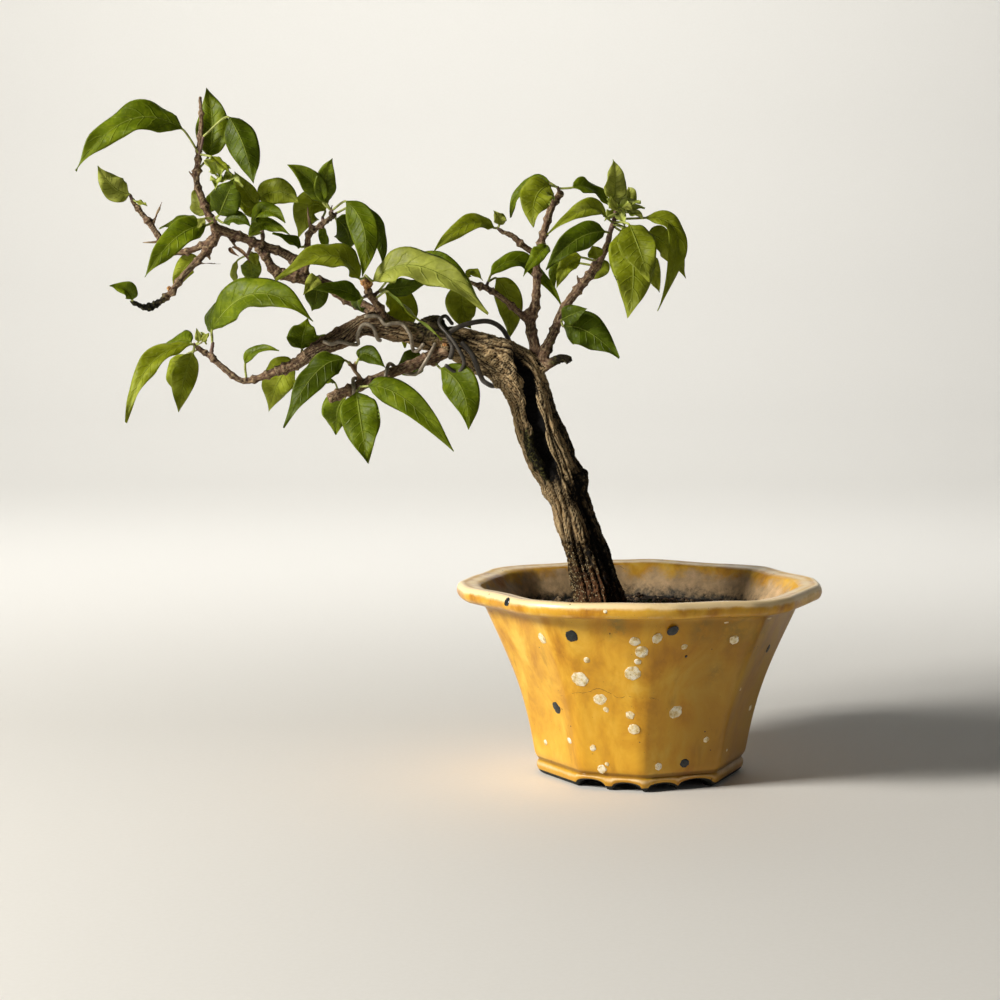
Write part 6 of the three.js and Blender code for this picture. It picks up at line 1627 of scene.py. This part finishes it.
class BONSAI_OT_small_growth(bpy.types.Operator):
    """Add moss tufts, bud scales, withered scraps and tender leaves"""
    bl_idname = "bonsai.small_growth"
    bl_label = "Moss, buds and scraps"

    def execute(self, context):
        self.moss(context.scene.bonsai.moss_count)
        bm = bmesh.new()
        for centre, sizes, turn in BUD_SCALES:
            lean = Matrix.Rotation(math.radians(turn), 4, "Y")
            lump(bm, centre, [1.15 * s for s in sizes], 3, 0.5, turn, lean, 1)
        for start, bend, end, width in SCRAPS:
            leaf(bm, (start, start, bend, end, width, -90, 20, 40), (0, 0, 0), THIN_BLADE, int(width * 10))
        looks = [paint("withered_leaf", DRY_SCRAP), paint("bud_scale", BUD_SCALE)]
        finish_piece(bm, "bud_scales_and_scraps", looks)
        bm = bmesh.new()
        for i, (foot, tip, width, azimuth, lift) in enumerate(TENDER_LEAVES):
            foot, tip = Vector(foot), Vector(tip)
            bend = (foot + tip) / 2 + Vector((0, -0.8, 1.2))
            spec = (foot, foot.lerp(tip, 0.16), bend, tip, width, azimuth, 25, lift)
            leaf(bm, spec, (0, 1, 2), THIN_BLADE, 300 + i, 2.6)
        looks = [paint("tender_leaf_face", TENDER_LEAF), paint("tender_leaf_back", TENDER_LEAF),
                 paint("tender_stalk", GREEN_STALK)]
        finish_piece(bm, "tender_leaves", looks)
        return {"FINISHED"}

    def moss(self, count):
        """Low tufts on the soil, thickest round the foot of the trunk."""
        rng = Random(5)
        bm = bmesh.new()
        for i in range(count):
            a, r = rng.uniform(0, 2 * math.pi), rng.gauss(0, 1)
            reach = 15 + 9 * abs(r)
            x, y = -13 + reach * math.cos(a), reach * math.sin(a) * 0.9
            if math.hypot(x, y) > 56:
                continue
            size = rng.uniform(0.7, 2.2)
            sizes = (size, size * rng.uniform(0.7, 1), size * 0.55)
            lump(bm, (x, y, soil_height(x, y) + 0.1), sizes, 2, 0.9, i)
        finish_piece(bm, "moss_tufts", [paint("moss", MOSS)])


# ---- studio ----
class BONSAI_OT_stage(bpy.types.Operator):
    """Set up the floor, the lights and the camera"""
    bl_idname = "bonsai.stage"
    bl_label = "Studio"

    def execute(self, context):
        scene = context.scene
        self.floor(scene)
        world = bpy.data.worlds.new("studio")
        scene.world = world
        world.use_nodes = True
        sky = world.node_tree.nodes["Background"]
        sky.inputs["Color"].default_value = (0.93, 0.96, 1.0, 1)
        sky.inputs["Strength"].default_value = 0.05
        # each light: name, place, what it looks at, size, power and colour
        plant = AXIS + Vector((-50, 0, 130)) * MM
        for name, where, target, size, power, colour in (
                ("key", (-1.41, -0.68, 0.95), plant, 0.4, 46, (1.0, 0.965, 0.91)),
                ("fill", (1.0, -1.0, 0.5), plant, 0.9, 0.4, (0.93, 0.96, 1.0)),
                ("backdrop", (0, 0.7, 1.3), Vector((0, 2.0, 0.7)), 1.6, 19, (1.0, 1.0, 1.0))):
            lamp = bpy.data.lights.new(name, "AREA")
            lamp.shape, lamp.size, lamp.energy, lamp.color = "SQUARE", size, power, colour
            light = bpy.data.objects.new(name, lamp)
            light.location = Vector(where)
            light.rotation_euler = (target - light.location).to_track_quat("-Z", "Y").to_euler()
            scene.collection.objects.link(light)
        # the camera looks along +Y and a little down
        lens = bpy.data.cameras.new("camera")
        lens.lens, lens.sensor_width, lens.sensor_fit = 79.81, 36, "HORIZONTAL"
        lens.clip_start = 0.02
        camera = bpy.data.objects.new("camera", lens)
        camera.location = (AXIS.x - 0.0621, -0.972, 0.2164)
        camera.rotation_euler = (math.pi / 2 - 0.098, 0, 0)
        scene.collection.objects.link(camera)
        scene.camera = camera
        scene.view_settings.view_transform = "Standard"
        scene.view_settings.look = "None"
        return {"FINISHED"}

    def floor(self, scene):
        """A board, 8 m wide, that runs 3.2 m back, bends up and ends as a wall."""
        rows, level_rows, bend_rows, wall_rows = 24, 14, 4, 6
        radius = 0.7
        bm = bmesh.new()
        board = bmesh.ops.create_grid(bm, x_segments=1, y_segments=rows, size=0.5)["verts"]
        for vert in board:
            row = (vert.co.y + 0.5) * rows
            curve = min(max(row - level_rows, 0) / bend_rows, 1) * math.pi / 2
            back = min(row, level_rows) / level_rows * 3.2 - 1.8
            wall = max(row - level_rows - bend_rows, 0) / wall_rows * 2.4
            vert.co = Vector((vert.co.x * 8, back + radius * math.sin(curve),
                              radius * (1 - math.cos(curve)) + wall))
        mesh = bpy.data.meshes.new("studio_floor")
        bmesh.ops.recalc_face_normals(bm, faces=bm.faces[:])
        bm.to_mesh(mesh)
        bm.free()
        mesh.materials.append(paint("studio_board", plain_floor))
        mesh.shade_smooth()
        board = bpy.data.objects.new("studio_floor", mesh)
        scene.collection.objects.link(board)


# ---- panel ----
STEPS = (BONSAI_OT_pot, BONSAI_OT_soil, BONSAI_OT_wood, BONSAI_OT_wires, BONSAI_OT_leaves,
         BONSAI_OT_small_growth, BONSAI_OT_stage)


class BONSAI_PT_panel(bpy.types.Panel):
    """The plant's steps and settings"""
    bl_label = "Bonsai"
    bl_idname = "BONSAI_PT_panel"
    bl_space_type = "VIEW_3D"
    bl_region_type = "UI"
    bl_category = "Bonsai"

    def draw(self, context):
        for step in STEPS:
            self.layout.operator(step.bl_idname)
        for name in BonsaiSettings.__annotations__:
            self.layout.prop(context.scene.bonsai, name)


CLASSES = (BonsaiSettings, *STEPS, BONSAI_PT_panel)


def register():
    for each in CLASSES:
        bpy.utils.register_class(each)
    bpy.types.Scene.bonsai = PointerProperty(type=BonsaiSettings)


def unregister():
    del bpy.types.Scene.bonsai
    for each in reversed(CLASSES):
        bpy.utils.unregister_class(each)


def main():
    register()
    bpy.ops.bonsai.pot()
    bpy.ops.bonsai.soil()
    bpy.ops.bonsai.wood()
    bpy.ops.bonsai.wires()
    bpy.ops.bonsai.leaves()
    bpy.ops.bonsai.small_growth()
    bpy.ops.bonsai.stage()


if __name__ == "__main__":
    main()
